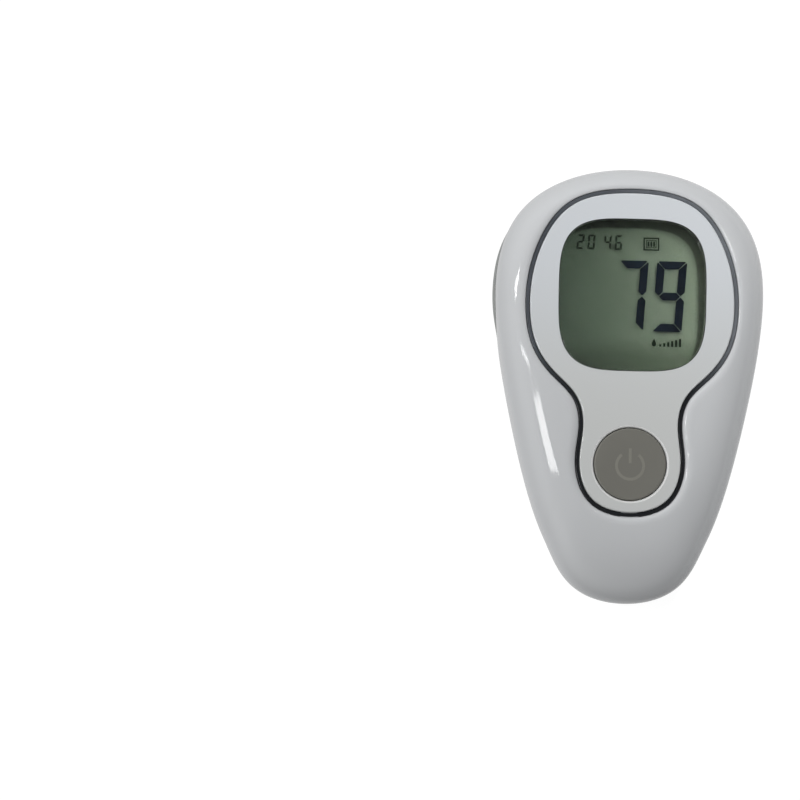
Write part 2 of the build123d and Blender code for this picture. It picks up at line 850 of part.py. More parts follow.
def passive_components():
    """A row above the controller, a column on each side of the button, two beyond the door."""
    above = [
        chip_component((i - (row_count - 1) / 2) * row_pitch, window_y + row_above, False,
                       board_top_z)
        for i in range(row_count)
    ]
    beside = [
        chip_component(side * column_aside, button_y + column_start - column_pitch * i, True,
                       board_top_z)
        for side in (-1, 1)
        for i in range(3)
    ]
    below = [
        chip_component(side * pair_aside, door_high_y + pair_beyond_door, False,
                       board_z - component_height)
        for side in (-1, 1)
    ]
    return above + beside + below


def thermistor():
    """The air temperature sensor, under the board beside the strip connector."""
    x = connector_width / 2 + thermistor_aside
    return chip_component(x, port_inner_y - connector_length / 2, True, board_z - component_height)


def buzzer():
    low_z = board_z - buzzer_height
    body = disc(0, buzzer_y, buzzer_diameter / 2, low_z, board_z)
    return body - disc(0, buzzer_y, buzzer_hole / 2, low_z - overcut, low_z + buzzer_hole)


def board_screws():
    return [
        screw(x, y, board_z, board_screw_length, board_screw_diameter,
              board_screw_head_diameter, board_screw_head_height)
        for x, y in board_screw_sites
    ]


# ---- strip port ------------------------------------------------------------------------
def port_block(extra):
    """The collar's plug shape, which is also the hole for it when it is made larger."""
    width, height = port_width + 2 * extra, port_height + 2 * extra
    face = Plane(origin=(0, port_inner_y, port_z), x_dir=(1, 0, 0), z_dir=(0, 1, 0))
    return extrude(face * RectangleRounded(width, height, port_corner), 2 * port_depth)


def slot_block(width, height, low_y, high_y):
    low = (-width / 2, low_y, port_z - height / 2)
    return block(low, (width / 2, high_y, port_z + height / 2))


def strip_port_collar():
    flange_w, flange_h = port_width + 2 * port_flange, port_height + port_flange
    flange = slot_block(flange_w, flange_h, port_inner_y, port_inner_y + port_flange_thickness)
    cavity = rear_body(rear_wall + port_clearance, floor_z + rear_wall)
    collar = (port_block(0) & rear_body(-port_proud, floor_z)) + (flange & cavity)
    # The mouth of the slot opens out, to guide the strip in.
    mouth = Plane(origin=(0, top_y, port_z), x_dir=(1, 0, 0), z_dir=(0, 1, 0))
    throat = mouth.offset(-funnel_depth - parting_inset)
    funnel = loft(
        [throat * Rectangle(strip_slot_width, strip_slot_height),
         mouth * Rectangle(strip_slot_width + 2 * funnel_flare_x,
                           strip_slot_height + 2 * funnel_flare_z)],
        ruled=True,
    )
    slot = slot_block(strip_slot_width, strip_slot_height, port_inner_y - overcut, top_y + overcut)
    return collar - [slot, funnel]


def contact_places():
    return [(i - (contact_count - 1) / 2) * contact_pitch for i in range(contact_count)]


def strip_connector():
    """A block under the board: the strip's slot, and a groove over it for each finger."""
    high_y = port_inner_y - connector_gap
    low_y = high_y - connector_length
    half = connector_width / 2
    body = block((-half, low_y, slot_low_z - connector_floor), (half, high_y, board_z))
    cuts = [slot_block(strip_slot_width, strip_slot_height, low_y + connector_stop, high_y + overcut)]
    half = contact_width / 2 + groove_clearance
    for x in contact_places():
        cuts.append(block((x - half, low_y + connector_stop / 2, slot_high_z - groove_clearance),
                          (x + half, high_y - groove_end, finger_z + groove_room)))
        cuts.append(block((x - half, low_y - overcut, finger_z - groove_room),
                          (x + half, low_y + connector_stop, finger_z + groove_room)))
    return body - cuts


def strip_contacts():
    """Sprung fingers that press on a strip: a flat arm, a bent nose in the slot and a tail."""
    low_y = port_inner_y - connector_gap - connector_length - contact_tail
    nose_y = port_inner_y - connector_gap - nose_from_mouth
    half, t = contact_width / 2, contact_thickness
    drop = slot_low_z + nose_above_floor - finger_z
    side = [
        (0, -t / 2), (nose_slope, drop), (nose_slope + nose_flat, drop),
        (nose_slope + nose_flat, drop + t), (nose_slope, drop + t), (0, t / 2),
    ]
    fingers = []
    for x in contact_places():
        arm = block((x - half, low_y, finger_z - t / 2), (x + half, nose_y, finger_z + t / 2))
        tail = block((x - half, low_y, finger_z - t / 2), (x + half, low_y + t, board_z))
        plane = Plane(origin=(x, nose_y, finger_z), x_dir=(0, 1, 0), z_dir=(1, 0, 0))
        nose = extrude(plane * make_face(Polyline(*side, close=True)), half, both=True)
        fingers.append(arm + tail + nose)
    return fingers


# ---- coin cell and its door ------------------------------------------------------------
def cell_can():
    can = disc(0, cell_y, cell_diameter / 2, cell_z, cell_rim_z)
    can = fillet(can.edges().sort_by(Axis.Z)[0], cell_can_round)
    mouth = cell_diameter / 2 - cell_can_wall
    return can - disc(0, cell_y, mouth, cell_rim_z - cell_rim_depth, cell_rim_z + overcut)


def cell_gasket():
    mouth, cap = cell_diameter / 2 - cell_can_wall, cell_cap_diameter / 2
    low_z = cell_rim_z - cell_rim_depth
    ring = disc(0, cell_y, mouth, low_z, cell_rim_z)
    return ring - disc(0, cell_y, cap, low_z - overcut, cell_rim_z + overcut)


def cell_cap():
    cap = disc(0, cell_y, cell_cap_diameter / 2, cell_rim_z - cell_rim_depth, cell_top_z)
    return fillet(cap.edges().sort_by(Axis.Z)[-1], cell_cap_round)


def cell_positive_contact():
    x = cell_diameter / 2 + contact_gap
    low_y, high_y = cell_y - positive_width / 2, cell_y + positive_width / 2
    upright = block((x, low_y, cell_z + spring_strip), (x + spring_strip, high_y, board_z))
    pad_z = board_z - spring_strip
    return upright + block((x, low_y, pad_z), (x + positive_pad, high_y, board_z))


def cell_negative_contact():
    """A leaf: soldered under the board, down through the well's roof, and bent to the cell."""
    board_side = board_z - spring_strip / 2
    roof_side = well_ceiling_z - spring_strip / 2 - contact_gap
    cell_side = cell_top_z + spring_strip / 2 + contact_gap
    x = -negative_riser
    line = [
        (x - negative_pad, board_side), (x, board_side), (x, roof_side),
        (x + leaf_root, roof_side), (x + leaf_root + leaf_slope, cell_side),
        (x + leaf_root + leaf_slope + leaf_tip, cell_side),
    ]
    return strip(line, cell_y, negative_width, spring_strip)


def battery_door():
    door = rounded_block(0, cell_y, door_width, door_length, door_corner, floor_z, door_top_z)
    hook_z = floor_z + lip_thickness + tongue_clearance
    for side in (-1, 1):
        x = side * hook_spacing / 2
        low_x, high_x = x - hook_width / 2, x + hook_width / 2
        high_y, high_z = door_low_y + hook_root, hook_z + hook_thickness
        door = door + block((low_x, door_low_y - hook_reach, hook_z), (high_x, high_y, high_z))
        door = door + block((low_x, door_low_y, floor_z + door_grip_depth), (high_x, high_y, high_z))
    for i in range(door_grip_count):
        y = door_high_y - door_grip_margin - door_grip_pitch * i
        half_x, half_y = door_grip_length / 2, door_grip_width / 2
        high_z = floor_z + door_grip_depth
        door = door - block((-half_x, y - half_y, floor_z - overcut), (half_x, y + half_y, high_z))
    return door


def door_pad():
    return disc(0, cell_y, pad_diameter / 2, door_top_z, door_top_z + pad_thickness)


nodes = {
    "front_shell": front_shell(),
    "rear_shell": rear_shell(),
    "face_plate": face_plate(),
    "plate_adhesive": plate_adhesive(),
    "trim_ring": trim_ring(),
    "display_lens": display_lens(),
    "display_bezel": display_bezel(),
    "lcd_polariser": lcd_layer(shelf_low_y + glass_contact_shelf, display_top_z - film_thickness,
                               film_thickness, film_margin),
    "lcd_front_glass": lcd_layer(shelf_low_y, front_glass_z, glass_thickness),
    "lcd_rear_glass": lcd_layer(glass_low_y, rear_glass_z, glass_thickness),
    "lcd_reflector": lcd_layer(glass_low_y, reflector_z, film_thickness, film_margin),
    "lcd_holder": lcd_holder(),
    "zebra_connector": zebra_connector(),
    "button_cap": button_cap(),
    "switch_plunger": switch_plunger(),
    "switch_body": switch_body(),
    "switch_frame": switch_frame(),
    "switch_dome": switch_dome(),
    "main_board": main_board(),
    "controller_chip": controller_chip(),
    "memory_chip": memory_chip(),
    "quartz_crystal": quartz_crystal(),
    "passive_components": passive_components(),
    "thermistor": thermistor(),
    "buzzer": buzzer(),
    "strip_port_collar": strip_port_collar(),
    "strip_connector": strip_connector(),
    "strip_contacts": strip_contacts(),
    "cell_can": cell_can(),
    "cell_gasket": cell_gasket(),
    "cell_cap": cell_cap(),
    "cell_positive_contact": cell_positive_contact(),
    "cell_negative_contact": cell_negative_contact(),
    "battery_door": battery_door(),
    "door_pad": door_pad(),
    "case_screws": case_screws(),
    "board_screws": board_screws(),
    "rubber_feet": rubber_feet(),
    "rating_label": rating_label(),
}
for name, shape in nodes.items():
    if isinstance(shape, list):
        shape = Compound(children=[solid for piece in shape for solid in piece.solids()])
    export_step(shape, f"parts/{name}.step")
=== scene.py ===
from math import cos, pi, radians, sin, tan

import bmesh
import bpy
import numpy as np
from mathutils import Matrix, Quaternion, Vector
from mathutils.kdtree import KDTree


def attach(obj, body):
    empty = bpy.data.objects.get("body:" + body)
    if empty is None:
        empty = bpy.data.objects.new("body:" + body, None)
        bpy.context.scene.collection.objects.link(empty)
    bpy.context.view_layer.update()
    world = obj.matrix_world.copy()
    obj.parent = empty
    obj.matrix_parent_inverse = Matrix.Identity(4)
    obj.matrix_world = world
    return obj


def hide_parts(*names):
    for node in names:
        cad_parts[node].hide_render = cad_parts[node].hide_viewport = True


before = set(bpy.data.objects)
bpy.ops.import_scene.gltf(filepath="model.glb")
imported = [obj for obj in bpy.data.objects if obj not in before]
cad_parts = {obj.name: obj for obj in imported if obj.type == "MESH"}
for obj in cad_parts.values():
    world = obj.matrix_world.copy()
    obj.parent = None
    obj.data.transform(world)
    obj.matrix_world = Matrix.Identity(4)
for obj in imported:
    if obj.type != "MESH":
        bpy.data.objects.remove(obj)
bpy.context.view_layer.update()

scene = bpy.context.scene
scene.view_settings.view_transform = "Standard"


# --- Table, room, lamps and camera -------------------------------------------------------------
# A white sheet under the meter, a pale room and soft lamps: a small key lamp at the upper right,
# which throws the rim's shadow into the window, and a row of window-like lamps at the left, whose
# reflections run down the polished left flank in streaks.
def linear(colour):
    """An sRGB hex colour as linear RGBA."""
    channels = [int(colour[i : i + 2], 16) / 255 for i in (1, 3, 5)]
    return (*[c / 12.92 if c <= 0.04045 else ((c + 0.055) / 1.055) ** 2.4 for c in channels], 1.0)


def add(tree, kind, sockets=(), **settings):
    """Adds one node. Its sockets, by name or number, take constants, outputs, or nodes to link."""
    made = tree.nodes.new(kind)
    for name, value in settings.items():
        setattr(made, name, value)
    for socket, value in dict(sockets).items():
        if isinstance(value, bpy.types.Node):
            value = value.outputs[0]
        if isinstance(value, bpy.types.NodeSocket):
            tree.links.new(value, made.inputs[socket])
        else:
            made.inputs[socket].default_value = value
    return made


def new_material(name):
    """An empty material, its tree, and the place on the piece that its patterns follow."""
    made = bpy.data.materials.new(name)
    made.use_nodes = True
    made.node_tree.nodes.clear()
    return made, made.node_tree, add(made.node_tree, "ShaderNodeTexCoord").outputs["Object"]


# Matt white paper, bright enough that only a soft shadow shows on it. In a Map Range node, socket
# 0 is the value, 1 and 2 the range it comes from, and 3 and 4 the range it goes to.
sheet_paper, tree, _ = new_material("white_paper_sheet")
rays = add(tree, "ShaderNodeLightPath")
side = add(tree, "ShaderNodeNewGeometry")
paper = add(tree, "ShaderNodeBsdfDiffuse", {"Color": linear("#F2F2F2")})
shine = add(tree, "ShaderNodeMapRange", {0: rays.outputs["Is Camera Ray"], 3: 0.73, 4: 1.13})
glow = add(tree, "ShaderNodeEmission", {"Color": linear("#FFFFFF"), "Strength": shine})
lit = add(tree, "ShaderNodeMixShader", {"Fac": 0.85, 1: paper, 2: glow})
clear = add(tree, "ShaderNodeBsdfTransparent")
# Light from within this distance passes through the sheet, so that the meter's underside is lit,
# and the sheet isn't seen from below.
underside_m = 0.004
near = add(tree, "ShaderNodeMath", {0: rays.outputs["Ray Length"], 1: underside_m},
           operation="LESS_THAN")
open_way = add(tree, "ShaderNodeMath", {0: near, 1: side.outputs["Backfacing"]},
               operation="MAXIMUM")
one_sided = add(tree, "ShaderNodeMixShader", {"Fac": open_way, 1: lit, 2: clear})
add(tree, "ShaderNodeOutputMaterial", {"Surface": one_sided})
sheet_m, sheet_drop_m = 3.0, 0.00005
sheet_mesh = bpy.data.meshes.new("sheet")
corners = [(x * sheet_m, y * sheet_m, -sheet_drop_m)
           for x, y in ((-1, -1), (1, -1), (1, 1), (-1, 1))]
sheet_mesh.from_pydata(corners, [], [(0, 1, 2, 3)])
sheet_mesh.materials.append(sheet_paper)
sheet = bpy.data.objects.new("sheet", sheet_mesh)
scene.collection.objects.link(sheet)

room = bpy.data.worlds.new("pale_room")
scene.world = room
room.use_nodes = True
tree = room.node_tree
tree.nodes.clear()
rays = add(tree, "ShaderNodeLightPath")
outwards = add(tree, "ShaderNodeTexCoord").outputs["Generated"]
way = add(tree, "ShaderNodeSeparateXYZ", {0: outwards})
# What shines on matt surfaces: more from the left and from beyond the wide end, and evenly from
# below the sheet.
lean = add(tree, "ShaderNodeVectorMath", {0: outwards, 1: (-0.29, 0.21, 0.04)},
           operation="DOT_PRODUCT")
above = add(tree, "ShaderNodeMath", {0: lean.outputs["Value"], 1: 0.262}, operation="ADD")
even = add(tree, "ShaderNodeMapRange", {0: way.outputs["Z"], 1: -0.3, 2: -0.02, 3: 1.0, 4: above})
# What polished surfaces mirror: bright walls at the left, dimmer at the right, a dim ceiling.
height = add(tree, "ShaderNodeMapRange", {0: way.outputs["Z"], 1: 0.45, 2: 0.93, 3: 1.0, 4: 0.1},
             interpolation_type="SMOOTHSTEP")
across = add(tree, "ShaderNodeMapRange", {0: way.outputs["X"], 1: -0.5, 2: 0.75, 3: 0.9, 4: 0.32},
             interpolation_type="SMOOTHSTEP")
mirrored = add(tree, "ShaderNodeMath", {0: height, 1: across}, operation="MULTIPLY")
glossy = add(tree, "ShaderNodeMix", {"Factor": rays.outputs["Is Glossy Ray"], 2: even, 3: mirrored})
seen = add(tree, "ShaderNodeMix", {"Factor": rays.outputs["Is Camera Ray"], 2: glossy, 3: 1.0})
light = add(tree, "ShaderNodeBackground", {"Color": linear("#FFFFFF"), "Strength": seen})
add(tree, "ShaderNodeOutputWorld", {"Surface": light})


def lamp(name, one_end_mm, other_end_mm, width_mm, watts, aim_mm=(0, 0, 20), mirrored=True):
    """A flat soft lamp between two places, facing a third, which polished surfaces may mirror."""
    one_end, other_end = Vector(one_end_mm) / 1000, Vector(other_end_mm) / 1000
    data = bpy.data.lights.new(name, "AREA")
    data.shape = "RECTANGLE"
    data.size, data.size_y = width_mm / 1000, (other_end - one_end).length
    data.energy = watts
    made = bpy.data.objects.new(name, data)
    scene.collection.objects.link(made)
    made.location = (one_end + other_end) / 2
    back = (made.location - Vector(aim_mm) / 1000).normalized()
    across = (other_end - one_end).cross(back).normalized()
    made.rotation_euler = Matrix((across, back.cross(across), back)).transposed().to_euler()
    made.visible_glossy = mirrored


lamp("key_lamp", (62, 102, 235), (86, 102, 235), 24, 0.33, aim_mm=(45, 110, 0), mirrored=False)
lamp("left_fill", (-500, -100, 220), (-500, 200, 220), 260, 0.33, mirrored=False)
lamp("left_pane_high", (-431, 129, 446), (-526, 74, 343), 50, 0.31)
lamp("left_pane_middle", (-350, -9, 522), (-486, -20, 399), 8, 0.052)
lamp("left_pane_low", (-231, -45, 580), (-383, -81, 491), 76, 0.37)

frame_px, focal_px = 800, 4733.0
camera_range_mm = 1000.0
tilt_left, tilt_down, roll = radians(5.73), radians(5.74), radians(0.83)
face_point_mm = Vector((0.0, 0.0, 19.8))
face_point_px = Vector((231.35, 18.5))
camera_mm = face_point_mm + camera_range_mm * Vector((-tan(tilt_left), -tan(tilt_down), 1.0))
view_way = (face_point_mm - camera_mm).normalized()
right_way = view_way.cross(Vector((0, 1, 0))).normalized()
up_way = right_way.cross(view_way)
level = Matrix((right_way, up_way, -view_way)).transposed().to_quaternion()
point_ray = Vector((*face_point_px, -focal_px)).normalized()
off_axis = Vector((0, 0, -1)).rotation_difference(point_ray)
lens_data = bpy.data.cameras.new("camera")
lens_data.sensor_width = 36.0
lens_data.lens = lens_data.sensor_width * focal_px / frame_px
lens_data.clip_start, lens_data.clip_end = 0.01, 20.0
camera = bpy.data.objects.new("camera", lens_data)
scene.collection.objects.link(camera)
camera.location = camera_mm / 1000
camera.rotation_mode = "QUATERNION"
camera.rotation_quaternion = level @ Quaternion((0, 0, 1), roll) @ off_axis.inverted()
scene.camera = camera


# --- Front shell -------------------------------------------------------------------------------
# The white upper half of the case, injection-moulded in polished ABS. An egg in plan, it rolls
# over a crest and dips to the ring round the face plate. Four bosses take the case screws, and
# three posts the board's. A tongue drops into the rear shell.
half_width, half_length, wide_trim = 29.0, 47.0, 0.42
parting_z, widest_z, crown_z = 9.0, 11.0, 20.3
shell_wall = 1.9
crest_side, crest_wide, crest_tip, crest_flatness, flank_roundness = 9.0, 8.0, 24.0, 2.45, 2.2
swell_y, swell_reach = 24.5, 14.0
around = 480


def fullness(along):
    """How much fuller the outline is than an ellipse, along its length: broad, then blunt."""
    blunt_from, blunt_by = -0.7, 0.24
    tip = blunt_by * np.clip((blunt_from - along) / (1 + blunt_from), 0, 1) ** 2
    return (0.922 + 0.308 * along + 0.298 * along**2) * (1 + tip)


def egg(angle, side, high=None, low=None, swell=0.0):
    """The case's outline at an angle from the middle, stood in at the sides and both ends."""
    high, low = (side if high is None else high) + wide_trim, side if low is None else low
    along, across = np.sin(angle), np.cos(angle)
    y = (low - high) / 2 + (half_length - (high + low) / 2) * along
    bulge = swell * np.exp(-(((y - swell_y) / swell_reach) ** 4))
    return np.stack([(half_width - side + bulge) * across * fullness(along), y], -1)


def grown(outline, distance):
    """A closed anticlockwise outline moved outwards along its own normals."""
    run = np.roll(outline, -1, 0) - np.roll(outline, 1, 0)
    run = run / np.linalg.norm(run, axis=1)[:, None]
    return outline + distance * np.stack([run[:, 1], -run[:, 0]], -1)


def spline_loop(knots, count):
    """A smooth closed cubic line through knots, as evenly spaced points."""
    knots = np.asarray(knots, float)
    n = len(knots)
    step = np.linalg.norm(np.roll(knots, -1, 0) - knots, axis=1)
    matrix = np.zeros((n, n))
    for i in range(n):
        matrix[i, i - 1] = step[i - 1]
        matrix[i, i] = 2 * (step[i - 1] + step[i])
        matrix[i, (i + 1) % n] = step[i]
    slope = (np.roll(knots, -1, 0) - knots) / step[:, None]
    bend = np.linalg.solve(matrix, 6 * (slope - np.roll(slope, 1, 0)))
    share = np.arange(200)[:, None] / 200
    spans = []
    for i in range(n):
        j = (i + 1) % n
        cubic = ((1 - share) ** 3 - (1 - share)) * bend[i] + (share**3 - share) * bend[j]
        spans.append((1 - share) * knots[i] + share * knots[j] + cubic * step[i] ** 2 / 6)
    dense = np.concatenate([*spans, knots[:1]])
    length = np.concatenate([[0], np.cumsum(np.linalg.norm(np.diff(dense, axis=0), axis=1))])
    at = np.arange(count) / count * length[-1]
    return np.stack([np.interp(at, length, dense[:, k]) for k in (0, 1)], -1)


# The keyhole's right half: places on it, and the angle on the egg's edge that each looks out to.
outlooks = [(0, 41.0, 90), (14.15, 37.5, 63.9), (19.72, 29.75, 45.1), (22.4, 16.71, 20.0),
            (20.38, 6.39, 2.9), (16.58, 1.28, -9.2), (11.85, -3.9, -13.5), (10.6, -9.1, -19.3),
            (11.3, -17.2, -33.6), (8.36, -25.56, -56), (0, -28.5, -90)]
left_knots = [(-x, y) for x, y, _ in outlooks]
right_knots = [(x, y) for x, y, _ in outlooks[-2:0:-1]]
keyhole = spline_loop(left_knots + right_knots, around)
left_half = keyhole[: around // 2 + 1]
marks = [int(np.argmin(np.hypot(*(left_half - knot).T))) for knot in left_knots]
outlook = np.interp(np.arange(around // 2 + 1), marks, [angle for _, _, angle in outlooks])
for _ in range(60):
    outlook[1:-1] = (outlook[:-2] + 2 * outlook[1:-1] + outlook[2:]) / 4
edge_angle = np.radians(np.concatenate([180 - outlook, 360 + outlook[-2:0:-1]]))


def dome(points, wall=0.0):
    """The height of the egg's dome over each point, or of its inner face under a wall."""
    low, high = np.zeros(len(points)), np.ones(len(points))
    for _ in range(26):
        w = (low + high) / 2
        top = half_length - wide_trim - wall - crest_wide * w
        tip = -half_length + wall + crest_tip * w
        along = np.clip((points[:, 1] - (top + tip) / 2) / ((top - tip) / 2), -1, 1)
        reach = (half_width - wall - crest_side * w) * np.sqrt(1 - along**2) * fullness(along)
        inside = (points[:, 1] < top) & (points[:, 1] > tip) & (np.abs(points[:, 0]) < reach)
        low, high = np.where(inside, w, low), np.where(inside, high, w)
    rise = (1 - (1 - low) ** crest_flatness) ** (1 / flank_roundness)
    return widest_z + (crown_z - wall - widest_z) * rise


def at_height(points, z):
    return np.column_stack([points, np.broadcast_to(z, len(points))])


def circle(x, y, radius, steps=160):
    turn = np.arange(steps) / steps * 2 * pi
    return np.stack([x + radius * np.cos(turn), y + radius * np.sin(turn)], -1)


def band(rings, closed=False):
    """Points and faces of rings, each joined to the next, and the last to the first if closed."""
    count = len(rings[0])
    faces = []
    for r in range(len(rings) if closed else len(rings) - 1):
        a, b = r * count, (r + 1) % len(rings) * count
        faces += [(a + i, a + (i + 1) % count, b + (i + 1) % count, b + i) for i in range(count)]
    return np.concatenate(rings), faces


def lathe(profile, x=0.0, y=0.0, steps=160):
    """Points and faces of a closed profile of radii and heights, turned about an upright axis."""
    return band([at_height(circle(x, y, max(radius, 0.01), steps), z) for radius, z in profile])


def joined(shapes):
    """Several shapes' points and faces as one list of each."""
    points, faces, start = [], [], 0
    for some_points, some_faces in shapes:
        points.append(some_points)
        faces += [tuple(start + i for i in face) for face in some_faces]
        start += len(some_points)
    return np.concatenate(points), faces


def finish_mesh(mesh, smooth_below=35, flat_ends=True):
    """Merges doubles, turns faces outwards, and smooths all but sharp edges and level faces."""
    shape = bmesh.new()
    shape.from_mesh(mesh)
    bmesh.ops.remove_doubles(shape, verts=shape.verts, dist=2e-7)
    bmesh.ops.dissolve_degenerate(shape, edges=shape.edges, dist=1e-7)
    holes = [edge for edge in shape.edges if len(edge.link_faces) == 1]
    bmesh.ops.holes_fill(shape, edges=holes)
    bmesh.ops.recalc_face_normals(shape, faces=shape.faces)
    for face in shape.faces:
        face.smooth = not (flat_ends and abs(face.normal.z) > 0.99995)
    for edge in shape.edges:
        edge.smooth = edge.calc_face_angle(pi) < radians(smooth_below)
    shape.to_mesh(mesh)
    shape.free()


def piece(name, shape, material, flat_ends=True):
    """An object at the origin, from points in millimetres and faces."""
    mesh = bpy.data.meshes.new(name)
    mesh.from_pydata((shape[0] / 1000).tolist(), [], shape[1])
    mesh.materials.append(material)
    finish_mesh(mesh, flat_ends=flat_ends)
    made = bpy.data.objects.new(name, mesh)
    scene.collection.objects.link(made)
    return made


def moulded(name, light, dark, roughness, grain_mm, relief_mm, patch_mm=14.0, ior=1.53, shine=0.5):
    """A plastic or rubber: fine relief from its mould, and slow drifts of tone and gloss."""
    # In a Mix node for colours, 0 is the share, 6 and 7 the colours, and output 2 the result.
    made, tree, place = new_material(name)
    drift = add(tree, "ShaderNodeTexNoise",
                {"Vector": place, "Scale": 1000 / patch_mm, "Detail": 3.0})
    grain = add(tree, "ShaderNodeTexNoise",
                {"Vector": place, "Scale": 1000 / grain_mm, "Detail": 2.0})
    tone = add(tree, "ShaderNodeMix", {0: drift, 6: linear(dark), 7: linear(light)},
               data_type="RGBA")
    gloss = add(tree, "ShaderNodeMapRange",
                {0: drift, 1: 0.3, 2: 0.7, 3: 0.85 * roughness, 4: 1.15 * roughness})
    relief = add(tree, "ShaderNodeBump",
                 {"Height": grain, "Strength": 1.0, "Distance": relief_mm / 1000})
    skin = add(tree, "ShaderNodeBsdfPrincipled",
               {"Base Color": tone.outputs[2], "Roughness": gloss, "Normal": relief, "IOR": ior,
                "Specular IOR Level": shine})
    add(tree, "ShaderNodeOutputMaterial", {"Surface": skin})
    return made


# Outside, from the eased edge at the parting line up the flank to the crest.
eased_edge = [(9.0, 1.0), (9.1, 0.66), (9.25, 0.42), (9.45, 0.27), (9.8, 0.13), (10.4, 0.03)]
rings = [at_height(egg(edge_angle, d), z) for z, d in eased_edge]
crest_start = 0.35
crest_share = (1 - (1 - crest_start) ** crest_flatness) ** (1 / flank_roundness)
for share in np.linspace(0, crest_share, 26):
    w = 1 - (1 - share**flank_roundness) ** (1 / crest_flatness)
    line = egg(edge_angle, crest_side * w, crest_wide * w, crest_tip * w)
    rings.append(at_height(line, widest_z + (crown_z - widest_z) * share))
# Beside the display the flank draws in below its widest place, over the rear shell's swell, and
# about half as far at the very edge.
grip_y, grip_reach, grip_top_z, grip_draw = 23.0, 13.0, 13.5, 0.45
for ring in rings:
    near = np.exp(-(((ring[:, 1] - grip_y) / grip_reach) ** 4))
    depth = np.clip((grip_top_z - ring[:, 2]) / (grip_top_z - parting_z), 0, 1)
    draw = grip_draw * near * (1 - (1 - depth) ** 2)
    draw = np.where(ring[:, 2] == parting_z, 0.55 * draw, draw)
    ring[:, 0] -= np.sign(ring[:, 0]) * np.minimum(draw, np.abs(ring[:, 0]))
# From the crest inwards to the recess round the plate, dipping close to it.
recess_edge, dip_reach, dip_z = 0.5, 2.0, 19.3
crest_line = rings[-1][:, :2]
recess_line = grown(keyhole, recess_edge)
for share in (1 - np.arange(1, 41) / 40) ** 1.6:
    plan = recess_line + (crest_line - recess_line) * share
    rings.append(at_height(plan, dome(plan)))
ring_points = KDTree(4 * around)
for i, (x, y) in enumerate(spline_loop(left_knots + right_knots, 4 * around)):
    ring_points.insert((x, y, 0), i)
ring_points.balance()
# Every ring above the widest place, which is the seventh, is let down close to the plate.
for ring in rings[7:]:
    away = np.array([ring_points.find((x, y, 0))[2] for x, y in ring[:, :2]])
    rise = (1 - (1 - np.clip((away - recess_edge) / dip_reach, 0, 1)) ** 2.2) ** 0.6
    ring[:, 2] = dip_z + (ring[:, 2] - dip_z) * rise
# The ledge, then the inner faces back down to the parting line and the tongue below it.
ledge_top_z, ledge_bottom_z, ledge_reach, band_reach = 18.05, 16.55, 1.9, 2.75
ledge_line, band_line = grown(keyhole, -ledge_reach), grown(keyhole, band_reach)
inner_line = egg(edge_angle, 2.8, 2.8, 4.4)
rings += [at_height(recess_line, ledge_top_z), at_height(ledge_line, ledge_top_z),
          at_height(ledge_line, ledge_bottom_z),
          at_height(band_line, np.minimum(ledge_bottom_z, dome(band_line, shell_wall)))]
for share in np.arange(0, 9) / 8:
    plan = band_line + (inner_line - band_line) * share
    rings.append(at_height(plan, dome(plan, shell_wall)))
rings += [at_height(egg(edge_angle, d), z) for z, d in ((13.6, 2.35), (11.5, 1.95), (9.0, 2.25))]
tongue_z, tongue_out, tongue_in, port_gap = 7.8, 1.35, 2.25, 7.0
for d in (tongue_in, tongue_out):
    line = egg(edge_angle, d)
    beside_port = (np.abs(line[:, 0]) > port_gap) | (line[:, 1] < 0)
    rings.append(at_height(line, np.where(beside_port, tongue_z, parting_z)))
rings.append(at_height(egg(edge_angle, tongue_out), parting_z))
# Blind-holed bosses for the case screws, and shorter posts for the board screws.
case_screw_sites = [(side * x, y) for side in (-1, 1) for x, y in ((21.5, 27.0), (8.5, -34.0))]
board_screw_sites = [(-15.0, -5.3), (15.0, -5.3), (0.0, -28.9)]
bosses = []
for sites, radius, bore, low_z, bore_z in ((case_screw_sites, 2.4, 0.95, parting_z, 12.4),
                                           (board_screw_sites, 2.0, 0.75, 11.0, 14.0)):
    for x, y in sites:
        top_z = min(float(dome(np.array([[x, y]]), shell_wall)[0]) + 0.9, crown_z - 1.2)
        bosses.append(lathe([(0.02, bore_z), (bore, bore_z), (bore, low_z), (radius, low_z),
                             (radius, top_z), (0.02, top_z)], x, y, 40))

# Polished mould steel leaves a wet gloss, with an orange-peel ripple that only bends highlights.
gloss_white = moulded("polished_white_abs", "#CBCDCF", "#C7C9CB", 0.055, 6.0, 0.002)
front = piece("front_shell_skin", joined([band(rings, closed=True), *bosses]), gloss_white,
              flat_ends=False)
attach(front, "housing")
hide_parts("front_shell")


# --- Trim ring ---------------------------------------------------------------------------------
# A thin dark ring of glossy ABS, pressed in the recess between the front shell and the face
# plate. It follows the keyhole, so its section is swept along that line.
def tree_inputs(group, **kinds):
    """Adds named inputs to a node tree, and its geometry in and out."""
    group.interface.new_socket("Geometry", in_out="INPUT", socket_type="NodeSocketGeometry")
    for name, kind in kinds.items():
        group.interface.new_socket(name, in_out="INPUT", socket_type=f"NodeSocket{kind}")
    group.interface.new_socket("Geometry", in_out="OUTPUT", socket_type="NodeSocketGeometry")
    return add(group, "NodeGroupInput").outputs


def settled(item):
    """What an object's modifiers make of it, as a plain mesh; the modifiers go."""
    shaped = item.evaluated_get(bpy.context.evaluated_depsgraph_get())
    result = bpy.data.meshes.new_from_object(shaped)
    item.modifiers.clear()
    item.data = result


